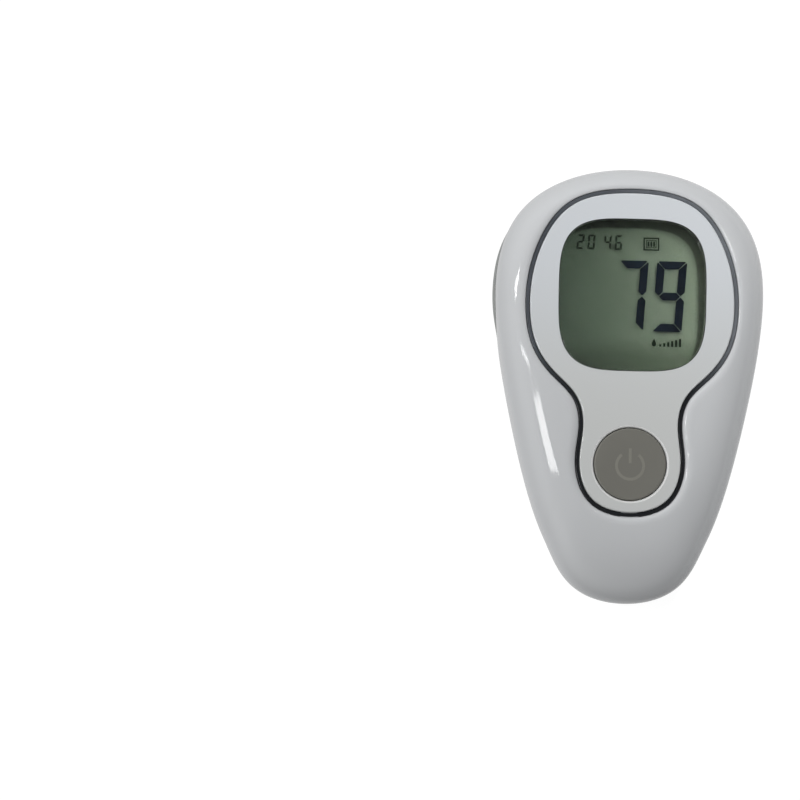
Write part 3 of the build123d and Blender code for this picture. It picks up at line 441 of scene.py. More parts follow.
def from_tree(name, group, mesh, **settings):
    """A plain mesh object: what a node tree makes of a mesh, with its named inputs set."""
    carrier = bpy.data.objects.new(name, mesh)
    scene.collection.objects.link(carrier)
    live = carrier.modifiers.new("shape", "NODES")
    live.node_group = group
    for item in group.interface.items_tree:
        if item.in_out == "INPUT" and item.name in settings:
            live[item.identifier] = settings[item.name]
    settled(carrier)
    finish_mesh(carrier.data)
    return carrier


# Nearly black round the button, and on the arch round the display a patchy grey, paler rightwards:
# a painted reflection on the glossy ring, not its own colour.
black_gloss, tree, place = new_material("black_abs_painted_reflection")
along = add(tree, "ShaderNodeSeparateXYZ", {0: place})
patch_noise = add(tree, "ShaderNodeTexNoise", {"Vector": place, "Scale": 1000 / 6.0, "Detail": 3.0})
arch = add(tree, "ShaderNodeMapRange", {0: along.outputs["Y"], 1: -0.004, 2: 0.01},
           interpolation_type="SMOOTHSTEP")
patchy_share = add(tree, "ShaderNodeMapRange", {0: patch_noise, 1: 0.3, 2: 0.7, 3: 0.75, 4: 1.0})
share = add(tree, "ShaderNodeMath", {0: arch, 1: patchy_share}, operation="MULTIPLY")
rightwards = add(tree, "ShaderNodeMapRange", {0: along.outputs["X"], 1: -0.016, 2: 0.018})
painted_reflection_grey = add(tree, "ShaderNodeMix", {0: rightwards, 6: linear("#50545A"), 7: linear("#707479")},
             data_type="RGBA")
tone = add(tree, "ShaderNodeMix", {0: share, 6: linear("#1D1F22"), 7: painted_reflection_grey.outputs[2]},
           data_type="RGBA")
skin = add(tree, "ShaderNodeBsdfPrincipled",
           {"Base Color": tone.outputs[2], "Roughness": 0.25, "IOR": 1.53})
add(tree, "ShaderNodeOutputMaterial", {"Surface": skin})

sweep = bpy.data.node_groups.new("swept_ring", "GeometryNodeTree")
given = tree_inputs(sweep, width="Float", height="Float", corner="Float")
path = add(sweep, "GeometryNodeMeshToCurve", {"Mesh": given["Geometry"]})
upright = add(sweep, "GeometryNodeSetCurveNormal", {"Curve": path}, mode="Z_UP")
section = add(sweep, "GeometryNodeCurvePrimitiveQuadrilateral",
              {"Width": given["width"], "Height": given["height"]})
eased = add(sweep, "GeometryNodeFilletCurve",
            {"Curve": section, "Radius": given["corner"], "Count": 4}, mode="POLY")
swept = add(sweep, "GeometryNodeCurveToMesh", {"Curve": upright, "Profile Curve": eased})
real = add(sweep, "GeometryNodeRealizeInstances", {"Geometry": swept})
painted = add(sweep, "GeometryNodeSetMaterial", {"Geometry": real, "Material": black_gloss})
add(sweep, "NodeGroupOutput", {0: painted})

ring_width, ring_height, ring_corner = 0.9, 1.2, 0.32
route = bpy.data.meshes.new("ring_route")
route.from_pydata((at_height(keyhole, ledge_top_z + ring_height / 2) / 1000).tolist(),
                  [(i, (i + 1) % around) for i in range(around)], [])
ring = from_tree("trim_ring_band", sweep, route, width=ring_width / 1000, height=ring_height / 1000,
                 corner=ring_corner / 1000)
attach(ring, "housing")
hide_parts("trim_ring")


# --- Face plate --------------------------------------------------------------------------------
# A keyhole of clear-coated white plastic, 1.6 mm thick, with a hole for the button and one for
# the display, whose edge is painted black. It is glued down by a ring of tape on the ledge.
plate_z, plate_top_z = 18.2, 19.8
window_y, window_width, window_height, window_squareness = 18.6, 31.5, 32.6, 3.6
button_y, button_radius, button_gap = -17.7, 7.72, 0.15


def window_outline(steps=320):
    """A square with bulging sides and wide round corners."""
    turn = (np.arange(steps) + 0.5) / steps * 2 * pi
    spread = np.abs(np.cos(turn)) ** window_squareness + np.abs(np.sin(turn)) ** window_squareness
    reach = spread ** (-1 / window_squareness)
    return np.stack([window_width / 2 * np.cos(turn) * reach,
                     window_y + window_height / 2 * np.sin(turn) * reach], -1)


def rounding(radius, steps=5):
    """How far in from the side and down from the top a round edge is, from its foot upwards."""
    return [(radius * (1 - cos(a)), radius * (1 - sin(a)))
            for a in np.arange(steps + 1) / steps * pi / 2]


def plate(name, outlines, low_z, high_z, *materials):
    """A flat slab inside its first outline and outside the others, each with a top edge radius.
    The first material covers it, and any others are for the walls of its holes."""
    shape = bmesh.new()
    ends = ([], [])
    for k, (outline, radius) in enumerate(outlines):
        inwards = -1 if k == 0 else 1
        edge = rounding(radius) if radius else [(0.0, 0.0)]
        wall = min(k, len(materials) - 1)
        loops = []
        for inset, z in [(0.0, low_z), *[(inset, high_z - down) for inset, down in edge]]:
            line = grown(outline, inwards * inset)
            loops.append([shape.verts.new((x / 1000, y / 1000, z / 1000)) for x, y in line])
        for low, high in zip(loops, loops[1:]):
            for i in range(len(low)):
                j = (i + 1) % len(low)
                shape.faces.new((low[i], low[j], high[j], high[i])).material_index = wall
        for end, loop in zip(ends, (loops[0], loops[-1])):
            end += [shape.edges.get((loop[i], loop[(i + 1) % len(loop)])) for i in range(len(loop))]
    for end in ends:
        bmesh.ops.triangle_fill(shape, edges=end, use_beauty=True)
    mesh = bpy.data.meshes.new(name)
    shape.to_mesh(mesh)
    shape.free()
    for material in materials:
        mesh.materials.append(material)
    finish_mesh(mesh)
    made = bpy.data.objects.new(name, mesh)
    scene.collection.objects.link(made)
    return made


# A cool white, printed behind a clear hard coat: brighter and bluer than the shell, wetter gloss.
# Towards the button it is painted darker and more neutral: painted shade.
coated_white, tree, place = new_material("hard_coated_white_plate")
along = add(tree, "ShaderNodeSeparateXYZ", {0: place})
orange_peel = add(tree, "ShaderNodeTexNoise", {"Vector": place, "Scale": 1000 / 9.0, "Detail": 2.0})
# Painted shade: the plate's colour darkens towards the button end.
painted_shade_towards_button = add(tree, "ShaderNodeMapRange", {0: along.outputs["Y"], 1: -0.01, 2: 0.03},
              interpolation_type="SMOOTHSTEP")
tone = add(tree, "ShaderNodeMix", {0: painted_shade_towards_button, 6: linear("#C9CBCA"), 7: linear("#D0D4D8")},
           data_type="RGBA")
gloss = add(tree, "ShaderNodeMapRange", {0: orange_peel, 1: 0.3, 2: 0.7, 3: 0.05, 4: 0.09})
relief = add(tree, "ShaderNodeBump", {"Height": orange_peel, "Distance": 0.000002})
skin = add(tree, "ShaderNodeBsdfPrincipled",
           {"Base Color": tone.outputs[2], "Roughness": gloss, "Normal": relief, "IOR": 1.5})
add(tree, "ShaderNodeOutputMaterial", {"Surface": skin})
# Brushed-on paint, dull and dark in the window's hole, and the bare cut edge of the button's.
edge_black = moulded("black_edge_paint", "#1E201E", "#161816", 0.5, 0.4, 0.004, 4.0)
cut_white = moulded("bare_white_hole_edge", "#DFE0DF", "#D8D9D8", 0.35, 0.5, 0.002)
window = window_outline()
button_hole = circle(0, button_y, button_radius + button_gap)
face = plate("face_plate_slab", [(grown(keyhole, -0.5), 0.3), (window, 0.1), (button_hole, 0.45)],
             plate_z, plate_top_z, coated_white, edge_black, cut_white)
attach(face, "housing")
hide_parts("face_plate")


# --- Plate tape --------------------------------------------------------------------------------
# A die-cut ring of double-sided tape, 0.15 mm thick, between the ledge and the face plate. Its
# tissue core shows as fine fibres.
def finish_nodes(material, *names):
    """Gives CAD nodes whose shape is right their material."""
    for name in names:
        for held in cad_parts[name].material_slots:
            held.material = material


tape = moulded("tissue_core_tape", "#E4DFCF", "#D6D0BC", 0.6, 0.5, 0.01, 3.0)
finish_nodes(tape, "plate_adhesive")


# --- Display lens ------------------------------------------------------------------------------
# A clear moulded acrylic window. Its raised middle fills the plate's hole to 0.3 mm under the
# face, and its flange is held between the plate and the bezel.
lens_top_z, lens_bottom_z, flange_reach, lens_gap, lens_edge = 19.5, 17.4, 0.9, 0.1, 0.25
flange_line, boss_line = grown(window, flange_reach), grown(window, -lens_gap)
lens_rings = [at_height(flange_line, lens_bottom_z), at_height(flange_line, plate_z),
              at_height(boss_line, plate_z)]
lens_rings += [at_height(grown(boss_line, -inset), lens_top_z - down)
               for inset, down in rounding(lens_edge)]

# Clear acrylic: a shadow ray passes straight through, so that the display under it is lit.
clear_acrylic, tree, place = new_material("clear_moulded_acrylic")
smear = add(tree, "ShaderNodeTexNoise", {"Vector": place, "Scale": 1000 / 9.0, "Detail": 2.0})
film = add(tree, "ShaderNodeMapRange", {0: smear, 1: 0.4, 2: 0.7, 3: 0.0, 4: 0.03})
acrylic = add(tree, "ShaderNodeBsdfPrincipled",
              {"Base Color": linear("#F4F7F4"), "Roughness": film, "IOR": 1.49,
               "Transmission Weight": 1.0})
straight = add(tree, "ShaderNodeBsdfTransparent", {"Color": linear("#F2F5F0")})
rays = add(tree, "ShaderNodeLightPath")
way = add(tree, "ShaderNodeMixShader",
          {"Fac": rays.outputs["Is Shadow Ray"], 1: acrylic, 2: straight})
add(tree, "ShaderNodeOutputMaterial", {"Surface": way})
lens = piece("display_lens_window", band(lens_rings), clear_acrylic)
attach(lens, "housing")
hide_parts("display_lens")


# --- Display bezel and holder ------------------------------------------------------------------
# The bezel is a black satin moulding that presses the lens up against the plate and hides the
# display's edges. The white holder under it stands on the board and carries the glass.
# Etched moulds take the gloss off both, so the dark wall round the display mirrors nothing.
satin_black = moulded("satin_black_abs", "#2E3128", "#24261F", 0.55, 0.35, 0.006, 5.0)
finish_nodes(satin_black, "display_bezel")
holder_white = moulded("matt_white_abs", "#DCDCD6", "#D0D0CA", 0.5, 0.6, 0.006)
finish_nodes(holder_white, "lcd_holder")

# Silicone rubber laid up in thin conducting and insulating slices along the strip.
zebra, tree, place = new_material("striped_silicone_rubber")
across = add(tree, "ShaderNodeSeparateXYZ", {0: place})
slice_mm = 0.36
count = add(tree, "ShaderNodeMath", {0: across.outputs["X"], 1: 2 * pi * 1000 / slice_mm},
            operation="MULTIPLY")
wave = add(tree, "ShaderNodeMath", {0: count}, operation="SINE")
stripe = add(tree, "ShaderNodeMapRange", {0: wave, 1: -0.2, 2: 0.2})
tone = add(tree, "ShaderNodeMix", {0: stripe, 6: linear("#3A3B3E"), 7: linear("#C9A9A4")},
           data_type="RGBA")
rubber = add(tree, "ShaderNodeBsdfPrincipled", {"Base Color": tone.outputs[2], "Roughness": 0.65})
add(tree, "ShaderNodeOutputMaterial", {"Surface": rubber})
finish_nodes(zebra, "zebra_connector")


# --- Display glass -----------------------------------------------------------------------------
# A reflective liquid crystal cell: a clear front glass and polariser over a rear glass with a
# grey-green reflector laminated to it. Dark segments lie on top, so that they throw a faint
# second image on the reflector. Float glass is clear and nearly smooth, with a little dust.
clear_glass, tree, place = new_material("float_glass")
dust = add(tree, "ShaderNodeTexNoise", {"Vector": place, "Scale": 1000 / 2.5, "Detail": 2.0})
polish = add(tree, "ShaderNodeMapRange", {0: dust, 1: 0.4, 2: 0.8, 3: 0.02, 4: 0.08})
surface = add(tree, "ShaderNodeBsdfPrincipled",
              {"Base Color": linear("#C8D2C8"), "Roughness": polish, "IOR": 1.52, "Alpha": 0.03})
add(tree, "ShaderNodeOutputMaterial", {"Surface": surface})
finish_nodes(clear_glass, "lcd_front_glass")

# A stretched film with a faint tint and a dust-fine haze. A dark band is painted on it, 1.3 mm
# inside the window at the right and 1.5 mm at the wide end: painted shadow that deepens the rim's
# cast shadow there.
polariser, tree, place = new_material("stretched_polariser_film")
haze = add(tree, "ShaderNodeTexNoise", {"Vector": place, "Scale": 1000 / 0.3, "Detail": 1.0})
veil = add(tree, "ShaderNodeMapRange", {0: haze, 1: 0.3, 2: 0.7, 3: 0.03, 4: 0.05})
shadow_band_right, shadow_band_end = 1.3, 1.5
to_middle = (2 * shadow_band_right / window_width, -2 * (window_y - shadow_band_end) / window_height, 0.0)
centred = add(tree, "ShaderNodeMapping",
              {"Vector": place, "Location": to_middle,
               "Scale": (2000 / window_width, 2000 / window_height, 0.0)})
size = add(tree, "ShaderNodeVectorMath", {0: centred}, operation="ABSOLUTE")
squared = add(tree, "ShaderNodeVectorMath", {0: size, 1: (window_squareness,) * 3},
              operation="POWER")
spread = add(tree, "ShaderNodeVectorMath", {0: squared, 1: (1.0, 1.0, 0.0)},
             operation="DOT_PRODUCT")
# Painted shadow along the window's right side and wide end.
painted_shadow_band = add(tree, "ShaderNodeMapRange",
             {0: spread.outputs["Value"], 1: 0.98, 2: 1.08, 3: 0.0, 4: 0.3})
cover = add(tree, "ShaderNodeMath", {0: veil, 1: painted_shadow_band}, operation="ADD", use_clamp=True)
surface = add(tree, "ShaderNodeBsdfPrincipled",
              {"Base Color": linear("#141612"), "Roughness": 0.3, "IOR": 1.5,
               "Specular IOR Level": 0.2, "Alpha": cover})
add(tree, "ShaderNodeOutputMaterial", {"Surface": surface})
finish_nodes(polariser, "lcd_polariser")

# The olive is painted paler rightwards, as painted light and reflection of the bright room in the
# lens, and darker towards the button, as a painted dark reflection.
olive, tree, place = new_material("laminated_olive_reflector")
across = add(tree, "ShaderNodeSeparateXYZ", {0: place})
shift = add(tree, "ShaderNodeMapRange", {0: across.outputs["X"], 1: -0.016, 2: 0.016})
painted_light_share = add(tree, "ShaderNodeMath", {0: shift, 1: 2.0}, operation="POWER")
painted_reflection_tone = add(tree, "ShaderNodeMix", {0: painted_light_share, 6: linear("#59655B"), 7: linear("#B0B9AA")},
            data_type="RGBA")
painted_dark_reflection = add(tree, "ShaderNodeMapRange",
             {0: across.outputs["Y"], 1: 0.0045, 2: 0.011, 3: 1.0, 4: 0.0},
             interpolation_type="SMOOTHSTEP")
tone = add(tree, "ShaderNodeMix", {0: painted_dark_reflection, 6: painted_reflection_tone.outputs[2], 7: linear("#C2C6C1")},
           data_type="RGBA", blend_type="MULTIPLY")
speck = add(tree, "ShaderNodeTexNoise", {"Vector": place, "Scale": 1000 / 0.35, "Detail": 2.0})
fleck = add(tree, "ShaderNodeMix", {0: speck, 6: tone.outputs[2], 7: linear("#7C8672")},
            data_type="RGBA", blend_type="SOFT_LIGHT")
brushed = add(tree, "ShaderNodeBsdfPrincipled",
              {"Base Color": fleck.outputs[2], "Roughness": 0.6, "IOR": 1.5,
               "Specular IOR Level": 0.1})
add(tree, "ShaderNodeOutputMaterial", {"Surface": brushed})
finish_nodes(olive, "lcd_rear_glass", "lcd_reflector")

# Driven segments are a dull blue-black, and the small ones a weaker green-black.
segment_z, segment_thickness = 14.9, 0.03
dark_segment = moulded("driven_crystal_segment", "#141A24", "#10151C", 0.5, 0.3, 0.0, 6.0,
                       shine=0.0)
faint_segment = moulded("weak_crystal_segment", "#1B221C", "#171E18", 0.5, 0.3, 0.0, 6.0, shine=0.0)


def prism(outline, low_z, high_z):
    """Points and faces of a flat outline made solid between two heights."""
    outline = np.asarray(outline, float)
    count = len(outline)
    points, faces = band([at_height(outline, low_z), at_height(outline, high_z)])
    return points, [*faces, tuple(range(count))[::-1], tuple(range(count, 2 * count))]


def segment(outline):
    return prism(outline, segment_z, segment_z + segment_thickness)


def bar(left, low, width, height):
    return segment([(left, low), (left + width, low), (left + width, low + height),
                    (left, low + height)])


def numeral(digit, left, low, width, height, stroke, gap, cut):
    """The seven-segment shapes that light up for a digit, leaning 4 degrees to the right."""
    middle, lean = height / 2, tan(radians(4.0))
    top = [(gap + cut, height), (width - gap - cut, height),
           (width - gap - cut / 2, height - cut / 2), (width - stroke - gap, height - stroke),
           (stroke + gap, height - stroke), (gap + cut / 2, height - cut / 2)]
    upper_right = [(width, height - gap - cut), (width - cut / 2, height - gap - cut / 2),
                   (width - stroke, height - stroke - gap),
                   (width - stroke, middle + stroke / 2 + gap), (width - stroke / 2, middle + gap),
                   (width, middle + stroke / 2 + gap)]
    centre = [(stroke / 2 + gap, middle), (stroke + gap, middle - stroke / 2),
              (width - stroke - gap, middle - stroke / 2), (width - stroke / 2 - gap, middle),
              (width - stroke - gap, middle + stroke / 2), (stroke + gap, middle + stroke / 2)]
    upper_left = [(width - x, y) for x, y in upper_right]
    bars = {"a": top, "b": upper_right, "c": [(x, height - y) for x, y in upper_right],
            "d": [(x, height - y) for x, y in top], "e": [(x, height - y) for x, y in upper_left],
            "f": upper_left, "g": centre}
    lit = {"0": "abcdef", "2": "abged", "4": "fgbc", "6": "afgedc", "7": "abc", "9": "abcdfg"}
    return [segment([(left + x + lean * y, low + y) for x, y in bars[k]]) for k in lit[digit]]


reading = []
for digit, left, width in (("7", -3.55, 6.3), ("9", 4.6, 6.45)):
    reading += numeral(digit, left, 11.3, width, 15.2, 1.7, 0.12, 0.35)
big_digits = piece("lcd_reading", joined(reading), dark_segment)
clock = []
for digit, left in zip("2046", (-11.85, -9.5, -6.0, -3.65)):
    clock += numeral(digit, left, 28.7, 1.55, 3.2, 0.42, 0.05, 0.1)
small_digits = piece("lcd_clock", joined(clock), faint_segment)

# A battery mark: two frames, one in the other, with three charge bars inside.
battery = []
for left, low, width, height, stroke in ((2.6, 28.75, 3.4, 2.8, 0.28), (3.2, 29.3, 2.2, 1.7, 0.14)):
    battery += [bar(left, low, width, stroke), bar(left, low + height - stroke, width, stroke),
                bar(left, low + stroke, stroke, height - 2 * stroke),
                bar(left + width - stroke, low + stroke, stroke, height - 2 * stroke)]
battery += [bar(left, 29.6, 0.38, 1.1) for left in (3.5, 4.1, 4.7)]
battery_mark = piece("lcd_battery_mark", joined(battery), faint_segment)

# A drop and six rising bars stand for the unit.
drop_x, drop_y, drop_side, drop_rise = 5.15, 8.95, 0.62, 0.85
drop = [(drop_x + drop_side * sin(a) * sin(a / 2) ** 1.3, drop_y + drop_rise * cos(a))
        for a in np.arange(1, 24) / 24 * 2 * pi]
level_marks = [segment([(drop_x, drop_y + drop_rise), *drop][::-1])]
level_marks += [bar(6.3 + 0.85 * i, 8.1, 0.45, 0.5 + 0.24 * i) for i in range(6)]
unit_mark = piece("lcd_drop_mark", joined(level_marks), faint_segment)
for mark in (big_digits, small_digits, battery_mark, unit_mark):
    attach(mark, "housing")


# --- Button ------------------------------------------------------------------------------------
# A round push button of warm grey ABS with a spark-eroded finish. A flange under the plate keeps
# it in, and two ribs and a stem reach down to the switch. A power sign is printed on it.
flange_z, flange_top_z, flange_radius, cap_top_z, cap_edge = 17.4, 18.18, 8.65, 19.75, 0.35
hollow_radius, hollow_z, stem_radius, stem_z = 6.65, 18.65, 1.6, 15.5
rib_reach, rib_half, rib_top_z = 6.7, 0.5, 18.7


def box(low, high):
    """Points and faces of a box."""
    (left, front_y, low_z), (right, back_y, high_z) = low, high
    return prism([(left, front_y), (right, front_y), (right, back_y), (left, back_y)], low_z,
                 high_z)


crown = [(button_radius - inset, cap_top_z - down) for inset, down in rounding(cap_edge, 6)]
cap = lathe([(0, hollow_z), (hollow_radius, hollow_z), (hollow_radius, flange_z),
             (flange_radius, flange_z), (flange_radius, flange_top_z),
             (button_radius, flange_top_z), *crown, (0, cap_top_z)], 0, button_y)
stem = lathe([(0, rib_top_z), (stem_radius, rib_top_z), (stem_radius, stem_z), (0, stem_z)], 0,
             button_y, 40)
ribs = [box((-x, button_y - y, flange_z), (x, button_y + y, rib_top_z))
        for x, y in ((rib_reach, rib_half), (rib_half, rib_reach))]
# Sparks leave a fine even pitting, which turns the gloss to a soft sheen.
warm_grey = moulded("spark_eroded_warm_grey_abs", "#787770", "#72716B", 0.42, 0.28, 0.004, 8.0)
button = piece("button_cap_turned", joined([cap, stem, *ribs]), warm_grey)
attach(button, "button")
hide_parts("button_cap")

sign_radius, sign_stroke, sign_z, sign_rise, sign_opening = 2.9, 0.62, 19.74, 0.03, radians(38)
sign_y, stroke_low, stroke_high = button_y - 0.3, 0.5, 3.7
turn = pi / 2 + sign_opening + np.linspace(0, 2 * pi - 2 * sign_opening, 61)
round_line = np.stack([np.cos(turn), np.sin(turn)], -1)
outer, inner = ((sign_radius + side * sign_stroke / 2) * round_line for side in (1, -1))
arc_line = np.concatenate([outer, inner[::-1]]) + (0, sign_y)
arc = prism(arc_line, sign_z, sign_z + sign_rise)
upright_stroke = box((-sign_stroke / 2, sign_y + stroke_low, sign_z),
                     (sign_stroke / 2, sign_y + stroke_high, sign_z + sign_rise))
# Pad-printed ink, a shade paler than the button and a little glossier.
pad_grey = moulded("pad_printed_grey_ink", "#86857D", "#7F7E76", 0.35, 0.3, 0.002, 5.0)
sign = piece("button_sign", joined([arc, upright_stroke]), pad_grey)
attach(sign, "button")


# --- Tactile switch ----------------------------------------------------------------------------
# A square surface-mount switch: a black base and plunger, a stamped steel frame folded over it,
# and a snap dome inside. Glass fibre dulls the black, and stamping leaves the steel satin.
switch_black = moulded("glass_filled_black_nylon", "#232323", "#1A1A1A", 0.55, 0.2, 0.006, 2.0)
finish_nodes(switch_black, "switch_plunger", "switch_body")


def metal(name, light, dark, roughness, grain_mm, stretch=(1, 1, 1)):
    """A bare metal with a fine stretched grain that breaks up its gloss."""
    made, tree, place = new_material(name)
    drawn = add(tree, "ShaderNodeMapping", {"Vector": place, "Scale": stretch})
    grain = add(tree, "ShaderNodeTexNoise",
                {"Vector": drawn, "Scale": 1000 / grain_mm, "Detail": 3.0})
    tone = add(tree, "ShaderNodeMix", {0: grain, 6: linear(dark), 7: linear(light)},
               data_type="RGBA")
    gloss = add(tree, "ShaderNodeMapRange",
                {0: grain, 1: 0.3, 2: 0.7, 3: 0.7 * roughness, 4: 1.3 * roughness})
    skin = add(tree, "ShaderNodeBsdfPrincipled",
               {"Base Color": tone.outputs[2], "Roughness": gloss, "Metallic": 1.0})
    add(tree, "ShaderNodeOutputMaterial", {"Surface": skin})
    return made


stamped_steel = metal("stamped_stainless_steel", "#C9C8C4", "#A9A8A4", 0.3, 0.6, (1, 8, 1))
finish_nodes(stamped_steel, "switch_frame", "switch_dome", "cell_positive_contact",
             "cell_negative_contact")


# --- Circuit board and its components ----------------------------------------------------------
# A board of glass epoxy under green solder mask, whose copper shows as a lighter green net. On
# it sit two moulded chips, a quartz can, ceramic parts, a thermistor and a round buzzer.
board_green, tree, place = new_material("solder_masked_glass_epoxy")
trace_mm, weave_mm = 1.1, 0.5
net = add(tree, "ShaderNodeTexVoronoi",
          {"Vector": place, "Scale": 1000 / trace_mm, "Randomness": 0.75}, distance="MANHATTAN",
          feature="F1")
copper = add(tree, "ShaderNodeMapRange", {0: net.outputs["Distance"], 1: 0.32, 2: 0.36})
weave = add(tree, "ShaderNodeTexNoise", {"Vector": place, "Scale": 1000 / weave_mm, "Detail": 1.0})
tone = add(tree, "ShaderNodeMix", {0: copper, 6: linear("#12502A"), 7: linear("#1E6E38")},
           data_type="RGBA")
relief = add(tree, "ShaderNodeBump", {"Height": copper, "Distance": 0.00003})
gloss = add(tree, "ShaderNodeMapRange", {0: weave, 3: 0.22, 4: 0.38})
mask = add(tree, "ShaderNodeBsdfPrincipled",
           {"Base Color": tone.outputs[2], "Roughness": gloss, "Normal": relief, "IOR": 1.5})
add(tree, "ShaderNodeOutputMaterial", {"Surface": mask})
finish_nodes(board_green, "main_board")
# Dull moulding compounds, bright plating, and fired ceramics from matt tan to glazed black.
chip_black = moulded("moulded_black_epoxy", "#2A2A2B", "#202021", 0.6, 0.12, 0.004, 2.0)
finish_nodes(chip_black, "controller_chip", "memory_chip")
nickel_can = metal("nickel_plated_can", "#D2CFC6", "#B4B1A8", 0.22, 0.8)
finish_nodes(nickel_can, "quartz_crystal")
ceramic = moulded("fired_tan_ceramic", "#B39C7C", "#8F7A5E", 0.4, 0.15, 0.003, 1.2)
finish_nodes(ceramic, "passive_components")
thermistor_black = moulded("glazed_dark_ceramic", "#2F2A2A", "#1E1A1C", 0.25, 0.15, 0.002, 1.0)
finish_nodes(thermistor_black, "thermistor")
buzzer_black = moulded("heatproof_black_resin", "#262626", "#1B1B1B", 0.5, 0.3, 0.006, 3.0)
finish_nodes(buzzer_black, "buzzer")


# --- Rear shell --------------------------------------------------------------------------------
# The grey lower half of the case, a tray of spark-eroded ABS whose sides swell beside the
# display. It holds the coin cell's well, the door's frame and four screw bosses, and is pierced
# for the door, its hooks, the contacts, the buzzer's sound, the screws and the strip port.
floor_z, rear_wall, rear_swell, parting_inset, cell_y = 0.8, 1.8, 1.2, 0.35, 4.0
turn_line = np.arange(around) / around * 2 * pi


def bowl(inset, low_z, high_z=parting_z):
    """Rings of the tray's form, stood in by a distance, from its rim down to its floor."""
    levels = []
    for share in 1 - np.cos(np.linspace(0, pi / 2, 30)):
        down = 1 - (1 - share) ** 1.35
        fall = 1 - (1 - down**1.5) ** (1 / 2.1)
        swell = rear_swell * sin(pi * down**0.85) ** 1.3
        d = inset + parting_inset
        line = egg(turn_line, d + 8.15 * fall, d + 7.65 * fall, d + 8.65 * fall, swell)
        levels.append(at_height(line, parting_z - (parting_z - low_z) * down))
    if high_z > parting_z:
        return [at_height(levels[0][:, :2], high_z), *levels]
    rim = [(inset + parting_inset + d, z) for d, z in ((0.5, parting_z), (0.2, parting_z - 0.1))]
    return [*[at_height(egg(turn_line, d), z) for d, z in rim], *levels[4:]]


def capped(rings):
    """Points and faces of rings closed by a flat face at both ends."""
    points, faces = band(rings)
    count, last = len(rings[0]), len(points)
    return points, [*faces, tuple(range(count)), tuple(range(last - count, last))[::-1]]


def cutter(shape):
    """A passing object that shapes another."""
    return piece("cutter", shape, grey_satin, flat_ends=False)


def carve(target, tools, operation="DIFFERENCE"):
    """Cuts tools from a target, joins them to it, or keeps what they share; the tools go."""
    for tool in tools:
        live = target.modifiers.new("cut", "BOOLEAN")
        live.operation, live.solver, live.object = operation, "MANIFOLD", tool
    settled(target)
    for tool in tools:
        bpy.data.objects.remove(tool)


def rounded_rectangle(x, y, width, length, corner, steps=10):
    """An anticlockwise outline with round corners."""
    line = []
    for k, (sx, sy) in enumerate(((1, 1), (-1, 1), (-1, -1), (1, -1))):
        corner_x, corner_y = x + sx * (width / 2 - corner), y + sy * (length / 2 - corner)
        for a in (k + np.arange(steps + 1) / steps) * pi / 2:
            line.append((corner_x + corner * cos(a), corner_y + corner * sin(a)))
    return np.array(line)


def pin(x, y, radius, low_z, high_z, steps=48):
    return prism(circle(x, y, radius, steps), low_z, high_z)


# The same pitting as the button's, coarser: a grey with a dry sheen.
grey_satin = moulded("spark_eroded_grey_abs", "#8D908E", "#858886", 0.38, 0.4, 0.008)
door_width, door_length, door_corner, door_gap, frame_wall = 25.2, 29.0, 4.0, 0.25, 1.4
door_top_z, deck_z, deck_top_z = 2.25, 2.35, 3.4
door_low_y, door_high_y = cell_y - door_length / 2, cell_y + door_length / 2
well_radius, well_wall, well_ceiling_z, well_top_z, cell_z = 10.3, 1.4, 6.8, 7.9, 3.0


def door_outline(more, corner):
    """The door's outline, grown all round, with a corner radius of its own."""
    return rounded_rectangle(0, cell_y, door_width + 2 * more, door_length + 2 * more, corner)


# The tray's hollow leaves the screw bosses, the door's frame and the cell's well standing.
boss_radius, head_way, shank_way, seat_z = 2.8, 2.0, 1.1, 4.0
frame_line = door_outline(door_gap + frame_wall, door_corner + frame_wall)
hollow = cutter(capped(bowl(rear_wall, floor_z + rear_wall, parting_z + 0.5)))
carve(hollow, [cutter(pin(x, y, boss_radius, 0, 10)) for x, y in case_screw_sites]
      + [cutter(prism(frame_line, 0, deck_top_z)),
         cutter(pin(0, cell_y, well_radius + well_wall, 0, well_top_z, 120))])
rear = piece("rear_shell_tray", capped(bowl(0.0, floor_z)), grey_satin)
rebate_section = [(1.25, 7.7), (1.25, 9.5), (2.35, 9.5), (2.35, 7.7)]
rebate = band([at_height(egg(turn_line, d), z) for d, z in rebate_section], closed=True)
ways = [prism(door_outline(door_gap, door_corner + door_gap), 0, deck_z),
        pin(0, cell_y, well_radius, 0, well_ceiling_z, 120)]
hook_x, hook_half, hook_gap = 7.0, 2.0, 0.3
for x in (-hook_x, hook_x):
    ways.append(box((x - hook_half - hook_gap, door_low_y - 2.0, floor_z + 1.4),
                    (x + hook_half + hook_gap, door_low_y + 3.3, deck_top_z + 0.5)))
# The two contacts' slots, beside the cell and over its cap.
slot_top_z = 8.4
for x, half_thick, half_wide, low_z in ((10.15, 0.4, 2.75, cell_z), (-8.0, 0.375, 2.25, 6.3)):
    ways.append(box((x - half_thick, cell_y - half_wide, low_z),
                    (x + half_thick, cell_y + half_wide, slot_top_z)))
for x, y in case_screw_sites:
    ways += [pin(x, y, head_way, 0, seat_z), pin(x, y, shank_way, seat_z - 0.5, 9.5)]
sound_y, sound_ring, sound_hole = button_y - 3.0, 2.4, 0.5
for a in np.arange(6) / 6 * 2 * pi:
    x, y = sound_ring * cos(a), sound_y + sound_ring * sin(a)
    ways.append(pin(x, y, sound_hole, 0, 3.1, 24))
foot_sites = [(side * x, y) for side in (-1, 1) for x, y in ((13.5, 29.5), (8.0, -26.0))]
foot_radius, foot_top_z, foot_gap = 3.5, 1.4, 0.1
ways += [pin(x, y, foot_radius + foot_gap, 0, foot_top_z, 64) for x, y in foot_sites]
label_width, label_length, label_y, label_gap, label_thickness = 17.0, 9.0, 29.5, 0.2, 0.12
